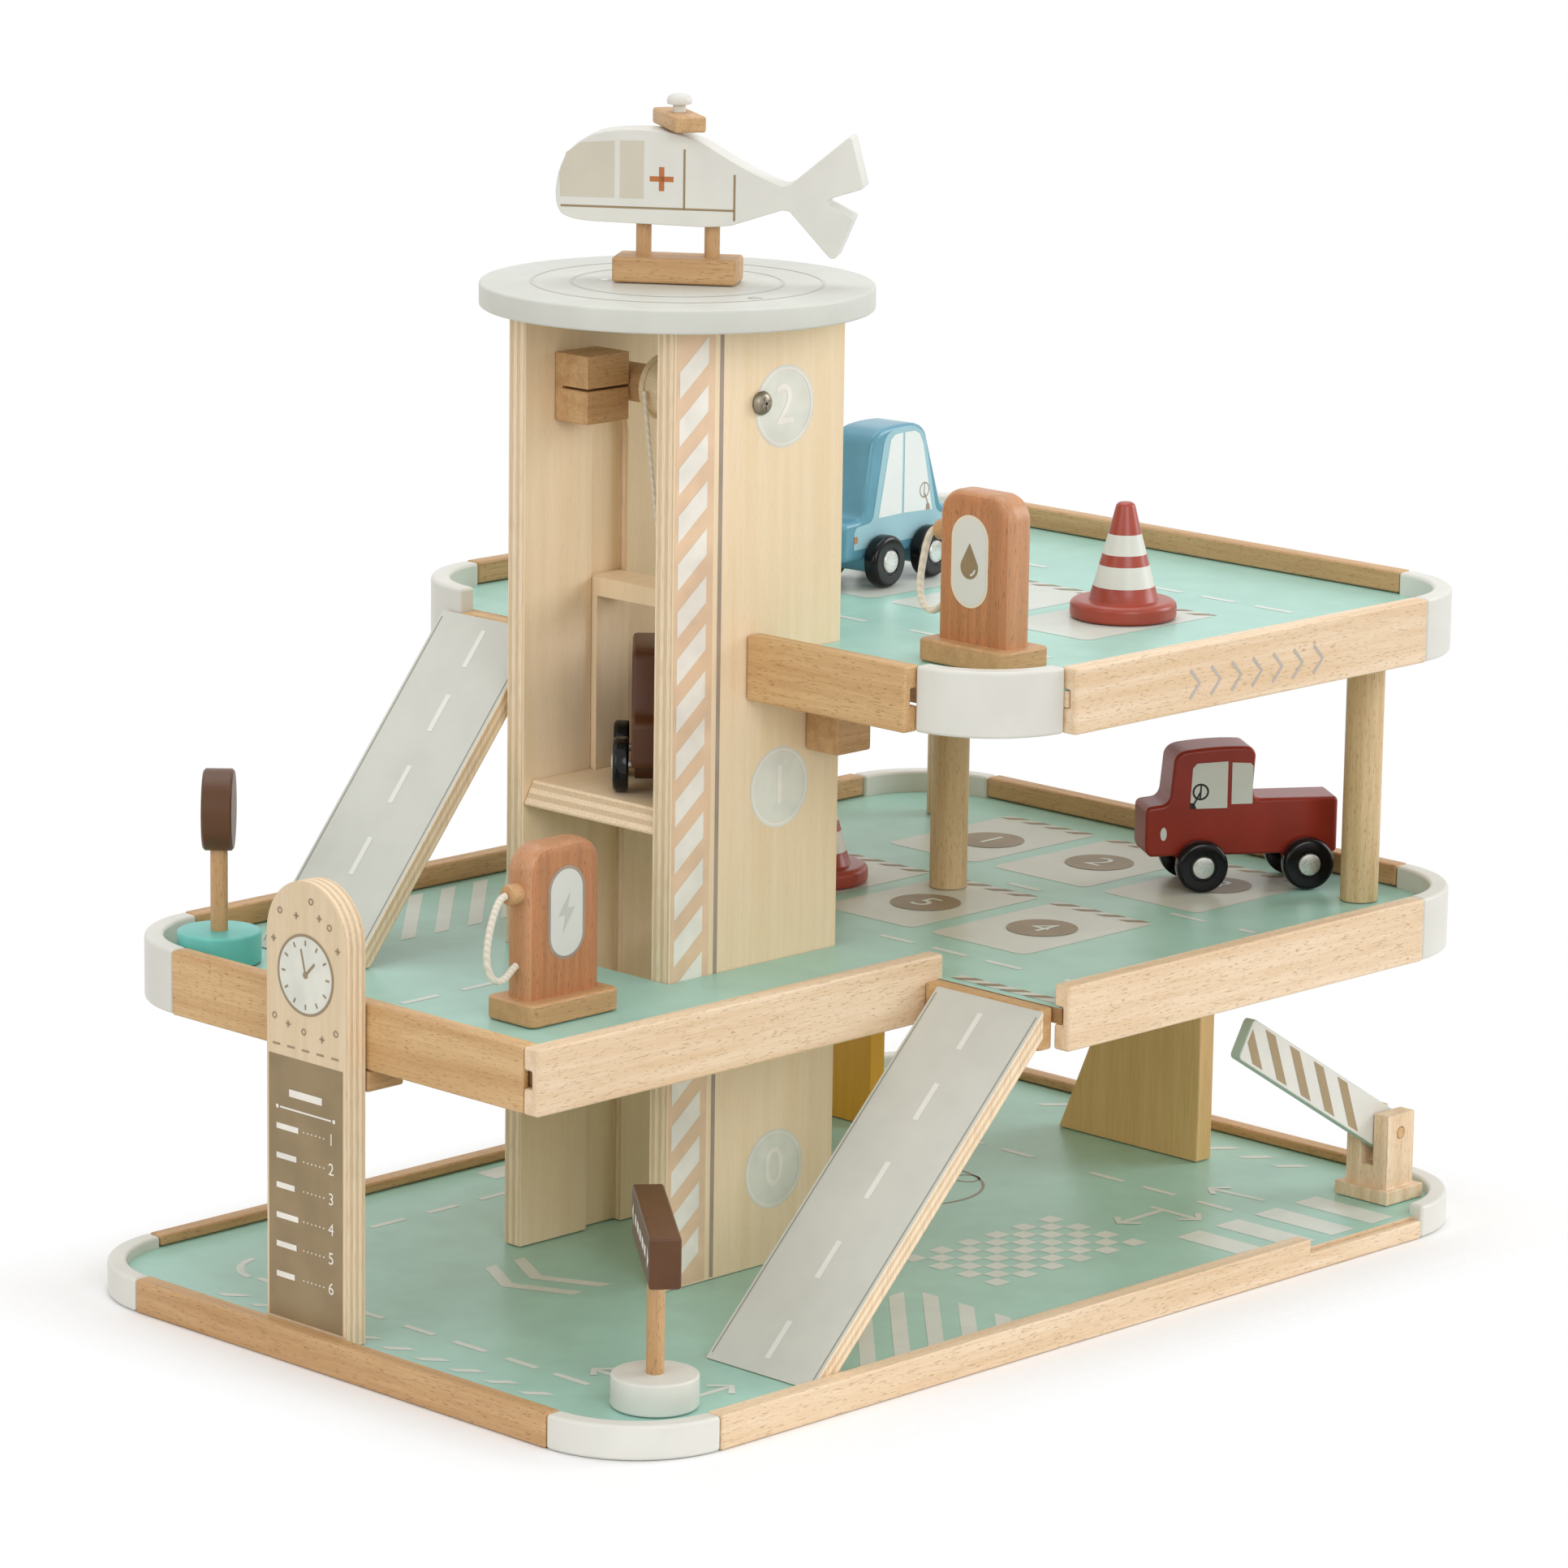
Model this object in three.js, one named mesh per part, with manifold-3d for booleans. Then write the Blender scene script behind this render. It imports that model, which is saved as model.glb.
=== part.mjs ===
import * as THREE from 'three';
import { mergeVertices } from 'three/addons/utils/BufferGeometryUtils.js';
import Module from 'manifold-3d';

// A wooden toy parking garage with a winch lift, in millimetres.
// +X runs along the long front, +Y goes from the front to the back, +Z is up.
// The origin is the middle of the base, on the surface that it stands on.

// Driving sizes of the building
const baseLength = 480;
const baseWidth = 312;
const clearance = 0.3;
const overrun = 2;
const railThickness = 7.5;
const grooveDepth = 4;
const cornerArm = 44;
const cornerSteps = 5;
const plyThickness = 9;
const panelThickness = 6;

// Levels, measured from the surface that the base stands on
const groundTop = 8.5;
const baseRailHeight = 13;
const entranceRailHeight = 7.2;
const middleTop = 128.5;
const upperTop = 247.5;
const deckRailAboveDeck = 9;
const deckRailHeight = 25;
const rampRailHeight = 16;

// Plan places, measured from the left edge and the front edge of the base
const entranceLength = 68;
const middleLeft = 18.6;
const middleRightInset = 2;
const middleFront = 2.5;
const notchRight = 226;
const notchBack = 68.5;
const notchRailOverhang = 3.5;
const upperLeft = 184;
const upperLeftBehind = 166;
const upperRightInset = 4;
const upperFront = 4.5;
const upperFrontCornerInset = 5;
const cornerInset = 0.6;

// Lift tower
const towerLeft = 145;
const towerLength = 90;
const towerFromBack = 93;
const towerInnerWidth = 70.5;
const guideWidth = 18.4;
const guideDepth = 4;
const guideTop = 331.5;
const helipadRadius = 74.5;
const helipadThickness = 9;
const helipadBottom = 375;

// Winding gear
const shaftBelowHelipad = 31.5;
const shaftRadius = 7.4;
const spoolRadius = 11.5;
const spoolFlangeRadius = 12.6;
const spoolWidth = 16;
const spoolFlangeWidth = 2.5;
const spoolFromWall = 27.5;
const screwRadius = 2.2;
const screwHeadRadius = 4.6;
const screwHeadHeight = 2.4;
const screwDepth = 6;
const crankRadius = 23;
const crankThickness = 9;
const crankKnobRadius = 6;
const crankKnobLength = 20;
const crankKnobOffset = 15;
const crankHubRadius = 10;
const crankHubLength = 4;
const brakeLength = 22;
const brakeWidth = 17.5;
const brakeHeight = 26;
const brakeSawCut = 0.9;
const brakeWebShare = 0.2;

// Lift car
const liftFloorTop = 193;
const liftFloorThickness = 9;
const liftFloorBevel = 5;
const liftSideThickness = 6;
const liftRoofTop = 268;
const liftRoofThickness = 7.5;
const liftCordRadius = 0.8;
const cordEyeRadius = 1.6;

// Posts, support panels and blocks
const postRadius = 7.5;
const rightSupportBottomWidth = 75;
const backSupportBottomWidth = 60;
const supportTopWidth = 27;
const rightSupportFront = 112;
const backSupportFromBack = 72;
const upperBlockLeft = 216.5;
const upperBlockLength = 18.5;
const upperBlockWidth = 17;
const upperBlockBottom = 208;
const boardBlockLength = 18;
const boardBlockWidth = 34;
const boardBlockBottom = 104;

// Ramps
const rampWidth = 54;
const rampThickness = 7.5;
const lowerRampRun = 121;
const upperRampRun = 96;
const upperRampFromTower = 4.2;

// Price board
const boardWidth = 43.5;
const boardTop = 181;
const boardThickness = 10;

// Cars
const wheelRadius = 10.4;
const wheelWidth = 6;
const wheelTrack = 28;
const wheelHubRadius = 4.6;
const wheelHubRise = 0.6;
const wheelRound = 1.6;
const axleRadius = 1.6;
const axleBoreRadius = 2;
const carWidth = 20;
const carBevel = 1.4;
const axleBossRadius = 5.4;
const wheelSides = 24;

// Loose pieces
const coneBaseRadius = 20.7;
const coneBaseHeight = 7;
const coneBaseRound = 2.5;
const coneHeight = 45;
const coneFootRadius = 13.5;
const coneTipRadius = 3.6;
const signBaseRadius = 16;
const signBaseHeight = 12;
const signPoleRadius = 3.3;
const signRoundRadius = 15.5;
const signThickness = 11.5;
const roundSignHeight = 74;
const longSignLength = 70;
const longSignHeight = 19;
const longSignTop = 72;
const pumpBaseLength = 44.5;
const pumpBaseWidth = 25;
const pumpBaseHeight = 8.7;
const pumpBaseRound = 3;
const pumpLength = 36.5;
const pumpWidth = 13.5;
const pumpHeight = 57;
const pumpShoulder = 10;
const pumpEdge = 1.2;
const knobRadius = 3.9;
const knobLength = 5.5;
const knobHeight = 39.5;
const ropeHoleHeight = 12.5;
const ropeHoleRadius = 1.9;
const ropeHoleDepth = 6;
const ropeRadius = 1.35;
const standBaseLength = 22.6;
const standBaseWidth = 26.6;
const standBaseHeight = 5.5;
const standLength = 16.4;
const standWidth = 20.8;
const standHeight = 35.5;
const standSlotBottom = 14;
const standEdge = 1;
const pivotHeight = 27.6;
const pivotRadius = 2.2;
const armReach = 102;
const armTail = 7.5;
const armHeight = 17;
const armThickness = 5;
const armCornerRound = 2;

// Helicopter
const standBlockLength = 47;
const standBlockWidth = 19;
const standBlockHeight = 9.6;
const strutRadius = 2.9;
const strutSpacing = 26;
const bodyUnderside = 22;
const helicopterLength = 116.5;
const helicopterHeight = 46.4;
const helicopterWidth = 14;
const rotorLength = 34;
const rotorWidth = 12;
const rotorThickness = 6;
const rotorPegRadius = 2.4;
const rotorPegHeadRadius = 4.7;
const rotorPegHeadHeight = 4;
const rotorPegNeck = 2.6;
const rotorPegDepth = 9;

// Where pieces stand: shares of the length from the tower to the right edge of their floor, and
// shares of its width from front to back. Those left of the tower are in sizes instead.
const placeShares = {
  frontMiddlePost: [0.428, 0.5385],
  frontRightPost: [0.856, 0.1378],
  backRightPost: [0.827, 0.8333],
  rightSupport: [0.8025, 0],
  backSupport: [0.5638, 0],
  pickup: [0.8095, 0.2958],
  blueCar: [0.4357, 0.6715],
  upperCone: [0.4813, 0.2885],
  middleCone: [0.3004, 0.6763],
  barrier: [0.8702, 0],
  priceBoard: [0, 0.5064],
};
const liftCarFromTowerLeft = 36;
const liftCarFromFrontWall = 34;
const middlePumpFromLeft = 82;
const middlePumpFromFront = 127;
const upperPumpFromTower = 6;
const upperPumpFromFront = 62.5;
const roundSignFromLeft = 44.5;
const roundSignFromBack = 42;
const longSignFromLeft = 45;
const longSignFromFront = 34.6;
const barrierFromFront = 32.1;

// How far pieces are turned from the long side, in degrees
const turnDegrees = {
  liftCar: 45, pickup: -34.7, blueCar: 6.6, roundSign: 45, longSign: 50.5, middlePump: 0, upperPump: -90,
  barrierArm: 31, helicopter: -55, rotor: -65,
};

// Colours
const colours = {
  beech: 0xd2a679, beechShade: 0xc08c5c, birch: 0xe6d0a8, white: 0xf1efe8, mint: 0xb9ded3,
  ramp: 0xd5d5cc, brown: 0x6b4c3a, red: 0x8f3b33, blue: 0x6fa9bd, black: 0x15151a, steel: 0xb8b8b6,
  cord: 0xefe6d3, cone: 0xa54a44, teal: 0x6cc4b8, pump: 0xc07a50, board: 0xe0c69a, arm: 0xe9efe9,
};

// Levels and places that follow from the sizes above
const deckBack = baseWidth;
const middleRight = baseLength - middleRightInset;
const upperRight = baseLength - upperRightInset;
const towerFront = deckBack - towerFromBack - plyThickness * 2 - towerInnerWidth;
const towerRight = towerLeft + towerLength;
const frontWallInner = towerFront + plyThickness;
const rearWallInner = frontWallInner + towerInnerWidth;
const towerBack = rearWallInner + plyThickness;
const shaftHeight = helipadBottom - shaftBelowHelipad;

function placeOf(key, right) {
  const [along, across] = placeShares[key];
  return { x: towerRight + along * (right - towerRight), y: across * baseWidth };
}

const wasm = await Module();
wasm.setup();

// Closed solids for joining and cutting
function toSolid(geometry) {
  const bare = geometry.clone();
  bare.deleteAttribute('normal');
  bare.deleteAttribute('uv');
  const merged = mergeVertices(bare);
  const vertProperties = new Float32Array(merged.attributes.position.array);
  const triVerts = new Uint32Array(merged.index.array);
  return new wasm.Manifold(new wasm.Mesh({ numProp: 3, vertProperties, triVerts }));
}

function toGeometry(solid) {
  const mesh = solid.getMesh();
  const geometry = new THREE.BufferGeometry();
  geometry.setAttribute('position', new THREE.BufferAttribute(new Float32Array(mesh.vertProperties), 3));
  geometry.setIndex(new THREE.BufferAttribute(new Uint32Array(mesh.triVerts), 1));
  return geometry;
}

function cut(geometry, ...tools) {
  let solid = toSolid(geometry);
  for (const tool of tools) solid = solid.subtract(toSolid(tool));
  return toGeometry(solid);
}

function join(geometry, ...others) {
  let solid = toSolid(geometry);
  for (const other of others) solid = solid.add(toSolid(other));
  return toGeometry(solid);
}

// Boxes and bars between two limits on each axis
function block(x0, x1, y0, y1, z0, z1) {
  const geometry = new THREE.BoxGeometry(x1 - x0, y1 - y0, z1 - z0);
  return geometry.translate((x0 + x1) / 2, (y0 + y1) / 2, (z0 + z1) / 2);
}

function shapeOf(points) {
  return new THREE.Shape(points.map(([a, b]) => new THREE.Vector2(a, b)));
}

// An outline in X and Y, raised from z0 to z1
function plate(shape, z0, z1, curveSegments = cornerSteps) {
  const geometry = new THREE.ExtrudeGeometry(shape, { depth: z1 - z0, bevelEnabled: false, curveSegments });
  return geometry.translate(0, 0, z0);
}

// An outline in X and Z, given thickness from y0 to y1
function standing(shape, y0, y1, options = {}) {
  const bevel = options.bevel ?? 0;
  const geometry = new THREE.ExtrudeGeometry(shape, {
    depth: y1 - y0 - 2 * bevel,
    bevelEnabled: bevel > 0,
    bevelThickness: bevel,
    bevelSize: bevel,
    bevelOffset: -bevel,
    bevelSegments: 1,
    curveSegments: options.curveSegments ?? cornerSteps,
  });
  geometry.rotateX(Math.PI / 2);
  return geometry.translate(0, y1 - bevel, 0);
}

// An outline in Y and Z, given thickness from x0 to x1
function upright(shape, x0, x1, curveSegments = cornerSteps) {
  const geometry = new THREE.ExtrudeGeometry(shape, { depth: x1 - x0, bevelEnabled: false, curveSegments });
  geometry.rotateX(Math.PI / 2);
  geometry.rotateZ(Math.PI / 2);
  return geometry.translate(x0, 0, 0);
}

// Round pieces: a profile of radius and height turned about an upright axis
function turned(profile, sides) {
  const points = profile.map(([radius, height]) => new THREE.Vector2(radius, height));
  const geometry = new THREE.LatheGeometry(points, sides);
  return geometry.rotateX(Math.PI / 2);
}

function rod(radius, z0, z1, sides = 24) {
  return turned([[0, z0], [radius, z0], [radius, z1], [0, z1]], sides);
}

function rodAlongY(radius, y0, y1, sides = 24) {
  const geometry = turned([[0, y0], [radius, y0], [radius, y1], [0, y1]], sides);
  return geometry.rotateX(-Math.PI / 2);
}

function roundedRectangle(x0, x1, y0, y1, radius) {
  const shape = new THREE.Shape();
  shape.moveTo(x0 + radius, y0);
  shape.lineTo(x1 - radius, y0);
  shape.absarc(x1 - radius, y0 + radius, radius, -Math.PI / 2, 0, false);
  shape.lineTo(x1, y1 - radius);
  shape.absarc(x1 - radius, y1 - radius, radius, 0, Math.PI / 2, false);
  shape.lineTo(x0 + radius, y1);
  shape.absarc(x0 + radius, y1 - radius, radius, Math.PI / 2, Math.PI, false);
  shape.lineTo(x0, y0 + radius);
  shape.absarc(x0 + radius, y0 + radius, radius, Math.PI, Math.PI * 1.5, false);
  return shape;
}

const garage = new THREE.Group();
garage.name = 'toy_parking_garage';

// Everything in plan is measured from the left edge and the front edge of the base
const building = new THREE.Group();
building.position.set(-baseLength / 2, -baseWidth / 2, 0);
garage.add(building);

function addPiece(parent, name, geometry, colour, roughness = 0.6, metalness = 0) {
  const material = new THREE.MeshStandardMaterial({ color: colour, roughness, metalness });
  const mesh = new THREE.Mesh(geometry, material);
  mesh.name = name;
  parent.add(mesh);
  return mesh;
}

// White corner pieces are quarter rings whose ends meet the ends of two rails
function cornerRing(x, y, quarter, inset, z0, z1) {
  const outer = cornerArm - inset;
  const inner = cornerArm - railThickness - inset;
  const start = quarter * Math.PI / 2;
  const shape = new THREE.Shape();
  shape.absarc(0, 0, outer, start, start + Math.PI / 2, false);
  shape.absarc(0, 0, inner, start + Math.PI / 2, start, true);
  shape.closePath();
  const angle = start + Math.PI / 4;
  const centreX = x - Math.sign(Math.cos(angle)) * cornerArm;
  const centreY = y - Math.sign(Math.sin(angle)) * cornerArm;
  return plate(shape, z0, z1, cornerSteps).translate(centreX, centreY, 0);
}

// The deck's own edge lies in the rails' grooves, so it stops short of their outer faces
const edgeSetback = railThickness - grooveDepth + clearance;
const insideQuarter = { frontLeft: 2, frontRight: 3, backRight: 0, backLeft: 1 };

function deckPanel(x0, x1, y0, y1, top, roundCorners) {
  const left = x0 + edgeSetback;
  const right = x1 - edgeSetback;
  const front = y0 + edgeSetback;
  const back = y1 - edgeSetback;
  const turnRadius = cornerArm - edgeSetback;
  const shape = new THREE.Shape();
  const radii = {
    frontLeft: roundCorners.includes('frontLeft') ? turnRadius : 0,
    frontRight: roundCorners.includes('frontRight') ? turnRadius : 0,
    backRight: roundCorners.includes('backRight') ? turnRadius : 0,
    backLeft: roundCorners.includes('backLeft') ? turnRadius : 0,
  };
  shape.moveTo(left + radii.frontLeft, front);
  shape.lineTo(right - radii.frontRight, front);
  if (radii.frontRight) {
    shape.absarc(right - turnRadius, front + turnRadius, turnRadius, -Math.PI / 2, 0, false);
  }
  shape.lineTo(right, back - radii.backRight);
  if (radii.backRight) shape.absarc(right - turnRadius, back - turnRadius, turnRadius, 0, Math.PI / 2, false);
  shape.lineTo(left + radii.backLeft, back);
  if (radii.backLeft) {
    shape.absarc(left + turnRadius, back - turnRadius, turnRadius, Math.PI / 2, Math.PI, false);
  }
  shape.lineTo(left, front + radii.frontLeft);
  if (radii.frontLeft) {
    shape.absarc(left + turnRadius, front + turnRadius, turnRadius, Math.PI, Math.PI * 1.5, false);
  }
  return plate(shape, top - panelThickness, top);
}

// A groove runs along a rail at the height of the deck panel
const grooveOf = (top) => ({ bottom: top - panelThickness - clearance, top: top + clearance });

// Rails between two corners: an end of the rail keeps the clearance to what it meets
function railAlongX(x0, x1, outerFace, inward, z0, z1, top) {
  const innerFace = outerFace + inward * railThickness;
  const grooveFloor = outerFace + inward * (railThickness - grooveDepth);
  const groove = grooveOf(top);
  const bar = block(x0 + clearance, x1 - clearance, Math.min(outerFace, innerFace), Math.max(outerFace, innerFace), z0, z1);
  const open = innerFace + inward * overrun;
  const slot = block(x0 - overrun, x1 + overrun, Math.min(grooveFloor, open), Math.max(grooveFloor, open),
    groove.bottom, groove.top);
  return cut(bar, slot);
}

function railAlongY(y0, y1, outerFace, inward, z0, z1, top) {
  const innerFace = outerFace + inward * railThickness;
  const grooveFloor = outerFace + inward * (railThickness - grooveDepth);
  const groove = grooveOf(top);
  const bar = block(Math.min(outerFace, innerFace), Math.max(outerFace, innerFace), y0 + clearance, y1 - clearance, z0, z1);
  const open = innerFace + inward * overrun;
  const slot = block(Math.min(grooveFloor, open), Math.max(grooveFloor, open), y0 - overrun, y1 + overrun,
    groove.bottom, groove.top);
  return cut(bar, slot);
}

const towerFootprint = (extraLeft, z0, z1) => block(towerLeft - clearance - extraLeft, towerRight + clearance,
  towerFront - clearance, towerBack + clearance, z0, z1);

// Ground floor
function buildBase() {
  let panel = deckPanel(0, baseLength, 0, baseWidth, groundTop,
    ['frontLeft', 'frontRight', 'backRight', 'backLeft']);
  const rings = [
    cornerRing(0, 0, insideQuarter.frontLeft, 0, 0, baseRailHeight),
    cornerRing(baseLength, 0, insideQuarter.frontRight, 0, 0, baseRailHeight),
    cornerRing(baseLength, baseWidth, insideQuarter.backRight, 0, 0, baseRailHeight),
    cornerRing(0, baseWidth, insideQuarter.backLeft, 0, 0, baseRailHeight),
  ];
  panel = join(panel, ...rings);
  addPiece(building, 'ground_floor', panel, colours.mint, 0.45);
  const far = baseLength - cornerArm;
  const low = block(far - entranceLength, far + overrun, -overrun, railThickness + overrun,
    entranceRailHeight, baseRailHeight + overrun);
  const frontRail = cut(railAlongX(cornerArm, far, 0, 1, 0, baseRailHeight, groundTop), low);
  addPiece(building, 'ground_front_rail', frontRail, colours.beech);
  addPiece(building, 'ground_back_rail',
    railAlongX(cornerArm, far, baseWidth, -1, 0, baseRailHeight, groundTop), colours.beech);
  addPiece(building, 'ground_left_rail',
    railAlongY(cornerArm, baseWidth - cornerArm, 0, 1, 0, baseRailHeight, groundTop), colours.beech);
  addPiece(building, 'ground_right_rail',
    railAlongY(cornerArm, baseWidth - cornerArm, baseLength, -1, 0, baseRailHeight, groundTop), colours.beech);
}

// Middle deck, with a notch at its front left for the head of the lower ramp
function buildMiddleDeck() {
  const railTop = middleTop + deckRailAboveDeck;
  const railBottom = railTop - deckRailHeight;
  const rampRailInner = notchRight - railThickness;
  let panel = deckPanel(middleLeft, middleRight, middleFront, deckBack, middleTop,
    ['frontRight', 'backRight', 'backLeft']);
  const notch = block(middleLeft - overrun, notchRight + clearance, middleFront - overrun,
    notchBack + edgeSetback, middleTop - panelThickness - overrun, middleTop + overrun);
  const railEnd = block(notchRight, notchRight + notchRailOverhang + clearance, notchBack - clearance,
    notchBack + edgeSetback, middleTop - panelThickness - overrun, middleTop + overrun);
  const shaftWell = towerFootprint(0, middleTop - panelThickness - overrun, middleTop + overrun);
  panel = cut(panel, notch, railEnd, shaftWell);
  const rings = [
    cornerRing(middleRight, middleFront, insideQuarter.frontRight, cornerInset, railBottom, railTop),
    cornerRing(middleRight, deckBack, insideQuarter.backRight, cornerInset, railBottom, railTop),
    cornerRing(middleLeft, deckBack, insideQuarter.backLeft, cornerInset, railBottom, railTop),
  ];
  panel = join(panel, ...rings);
  addPiece(building, 'middle_deck', panel, colours.mint, 0.45);
  addPiece(building, 'middle_left_rail', railAlongY(notchBack + railThickness, deckBack - cornerArm,
    middleLeft, 1, railBottom, railTop, middleTop), colours.beech);
  addPiece(building, 'middle_front_left_rail', railAlongX(middleLeft - clearance,
    notchRight + notchRailOverhang, notchBack, 1, railBottom, railTop, middleTop), colours.beech);
  addPiece(building, 'middle_front_right_rail', railAlongX(notchRight, middleRight - cornerArm,
    middleFront, 1, railBottom, railTop, middleTop), colours.beech);
  addPiece(building, 'middle_ramp_rail', block(rampRailInner + clearance, notchRight,
    middleFront + railThickness + clearance, notchBack - clearance, middleTop - rampRailHeight, middleTop),
  colours.beech);
  addPiece(building, 'middle_right_rail', railAlongY(middleFront + cornerArm, deckBack - cornerArm,
    middleRight, -1, railBottom, railTop, middleTop), colours.beech);
  addPiece(building, 'middle_back_rail', railAlongX(middleLeft + cornerArm, middleRight - cornerArm,
    deckBack, -1, railBottom, railTop, middleTop), colours.beech);
}

// Upper deck, which stands beside the tower and wraps behind it to the upper ramp
function buildUpperDeck() {
  const railTop = upperTop + deckRailAboveDeck;
  const railBottom = railTop - deckRailHeight;
  const panelBottom = upperTop - panelThickness;
  let panel = deckPanel(upperLeftBehind - edgeSetback, upperRight, upperFront, deckBack, upperTop,
    ['frontRight', 'backRight', 'backLeft']);
  const frontStrip = block(upperLeftBehind - overrun * 2, upperLeft + edgeSetback, upperFront - overrun,
    towerFront, panelBottom - overrun, upperTop + overrun);
  const rampHead = block(upperLeftBehind - overrun * 2, upperLeftBehind + railThickness + clearance,
    towerBack, deckBack - cornerArm + clearance, panelBottom - overrun, upperTop + overrun);
  const frontCorner = block(upperLeft - overrun, upperLeft + cornerArm, upperFront - overrun,
    upperFront + cornerArm, panelBottom - overrun, upperTop + overrun);
  const tower = towerFootprint(overrun * 4, panelBottom - overrun, upperTop + overrun);
  panel = cut(panel, frontStrip, rampHead, frontCorner, tower);
  const fillRadius = cornerArm - upperFrontCornerInset - edgeSetback;
  const quarter = new THREE.Shape();
  quarter.moveTo(0, 0);
  quarter.lineTo(-fillRadius, 0);
  quarter.absarc(0, 0, fillRadius, Math.PI, Math.PI * 1.5, false);
  quarter.closePath();
  const cornerFill = plate(quarter, panelBottom, upperTop)
    .translate(upperLeft + cornerArm, upperFront + cornerArm, 0);
  const rings = [
    cornerRing(upperLeft, upperFront, insideQuarter.frontLeft, upperFrontCornerInset, railBottom, railTop),
    cornerRing(upperRight, upperFront, insideQuarter.frontRight, cornerInset, railBottom, railTop),
    cornerRing(upperRight, deckBack, insideQuarter.backRight, cornerInset, railBottom, railTop),
    cornerRing(upperLeftBehind, deckBack, insideQuarter.backLeft, cornerInset, railBottom, railTop),
  ];
  panel = join(panel, cornerFill, ...rings);
  addPiece(building, 'upper_deck', panel, colours.mint, 0.45);
  addPiece(building, 'upper_left_rail', railAlongY(upperFront + cornerArm, towerFront,
    upperLeft, 1, railBottom, railTop, upperTop), colours.beech);
  addPiece(building, 'upper_front_rail', railAlongX(upperLeft + cornerArm, upperRight - cornerArm,
    upperFront, 1, railBottom, railTop, upperTop), colours.beech);
  addPiece(building, 'upper_right_rail', railAlongY(upperFront + cornerArm, deckBack - cornerArm,
    upperRight, -1, railBottom, railTop, upperTop), colours.beech);
  addPiece(building, 'upper_back_rail', railAlongX(upperLeftBehind + cornerArm, upperRight - cornerArm,
    deckBack, -1, railBottom, railTop, upperTop), colours.beech);
  addPiece(building, 'upper_ramp_rail', block(upperLeftBehind, upperLeftBehind + railThickness,
    towerBack + clearance, deckBack - cornerArm - clearance, upperTop - rampRailHeight, upperTop), colours.beech);
}

// Tower walls, each with a routed guide for the lift's side boards on its inner face
const guideCentre = towerLeft + towerLength / 2;

function guideGroove(y0, y1) {
  const shape = new THREE.Shape();
  const radius = guideWidth / 2;
  const top = guideTop - radius;
  shape.moveTo(guideCentre - radius, groundTop - overrun);
  shape.lineTo(guideCentre + radius, groundTop - overrun);
  shape.lineTo(guideCentre + radius, top);
  shape.absarc(guideCentre, top, radius, 0, Math.PI, false);
  return standing(shape, y0, y1);
}

function buildTower() {
  const wallBottom = groundTop + clearance;
  const wallTop = helipadBottom - clearance;
  const frontWall = cut(
    block(towerLeft, towerRight, towerFront, frontWallInner, wallBottom, wallTop),
    guideGroove(frontWallInner - guideDepth, frontWallInner + overrun),
    rodAlongY(screwRadius + clearance, towerFront - overrun, frontWallInner + overrun, 16)
      .translate(guideCentre, 0, shaftHeight),
  );
  addPiece(building, 'tower_front_wall', frontWall, colours.birch, 0.55);
  const rearWall = cut(
    block(towerLeft, towerRight, rearWallInner, towerBack, wallBottom, wallTop),
    guideGroove(rearWallInner - overrun, rearWallInner + guideDepth),
    rodAlongY(shaftRadius + clearance, rearWallInner - overrun, towerBack + overrun)
      .translate(guideCentre, 0, shaftHeight),
  );
  addPiece(building, 'tower_rear_wall', rearWall, colours.birch, 0.55);
  const padX = guideCentre;
  const padY = (towerFront + towerBack) / 2;
  const pad = turned([
    [0, 0], [helipadRadius - 1.5 * clearance, 0], [helipadRadius, 1.5 * clearance],
    [helipadRadius, helipadThickness - 1.5 * clearance],
    [helipadRadius - 1.5 * clearance, helipadThickness],
    [0, helipadThickness],
  ], 64);
  addPiece(building, 'helipad', pad.translate(padX, padY, helipadBottom), colours.white, 0.5);
}

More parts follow.
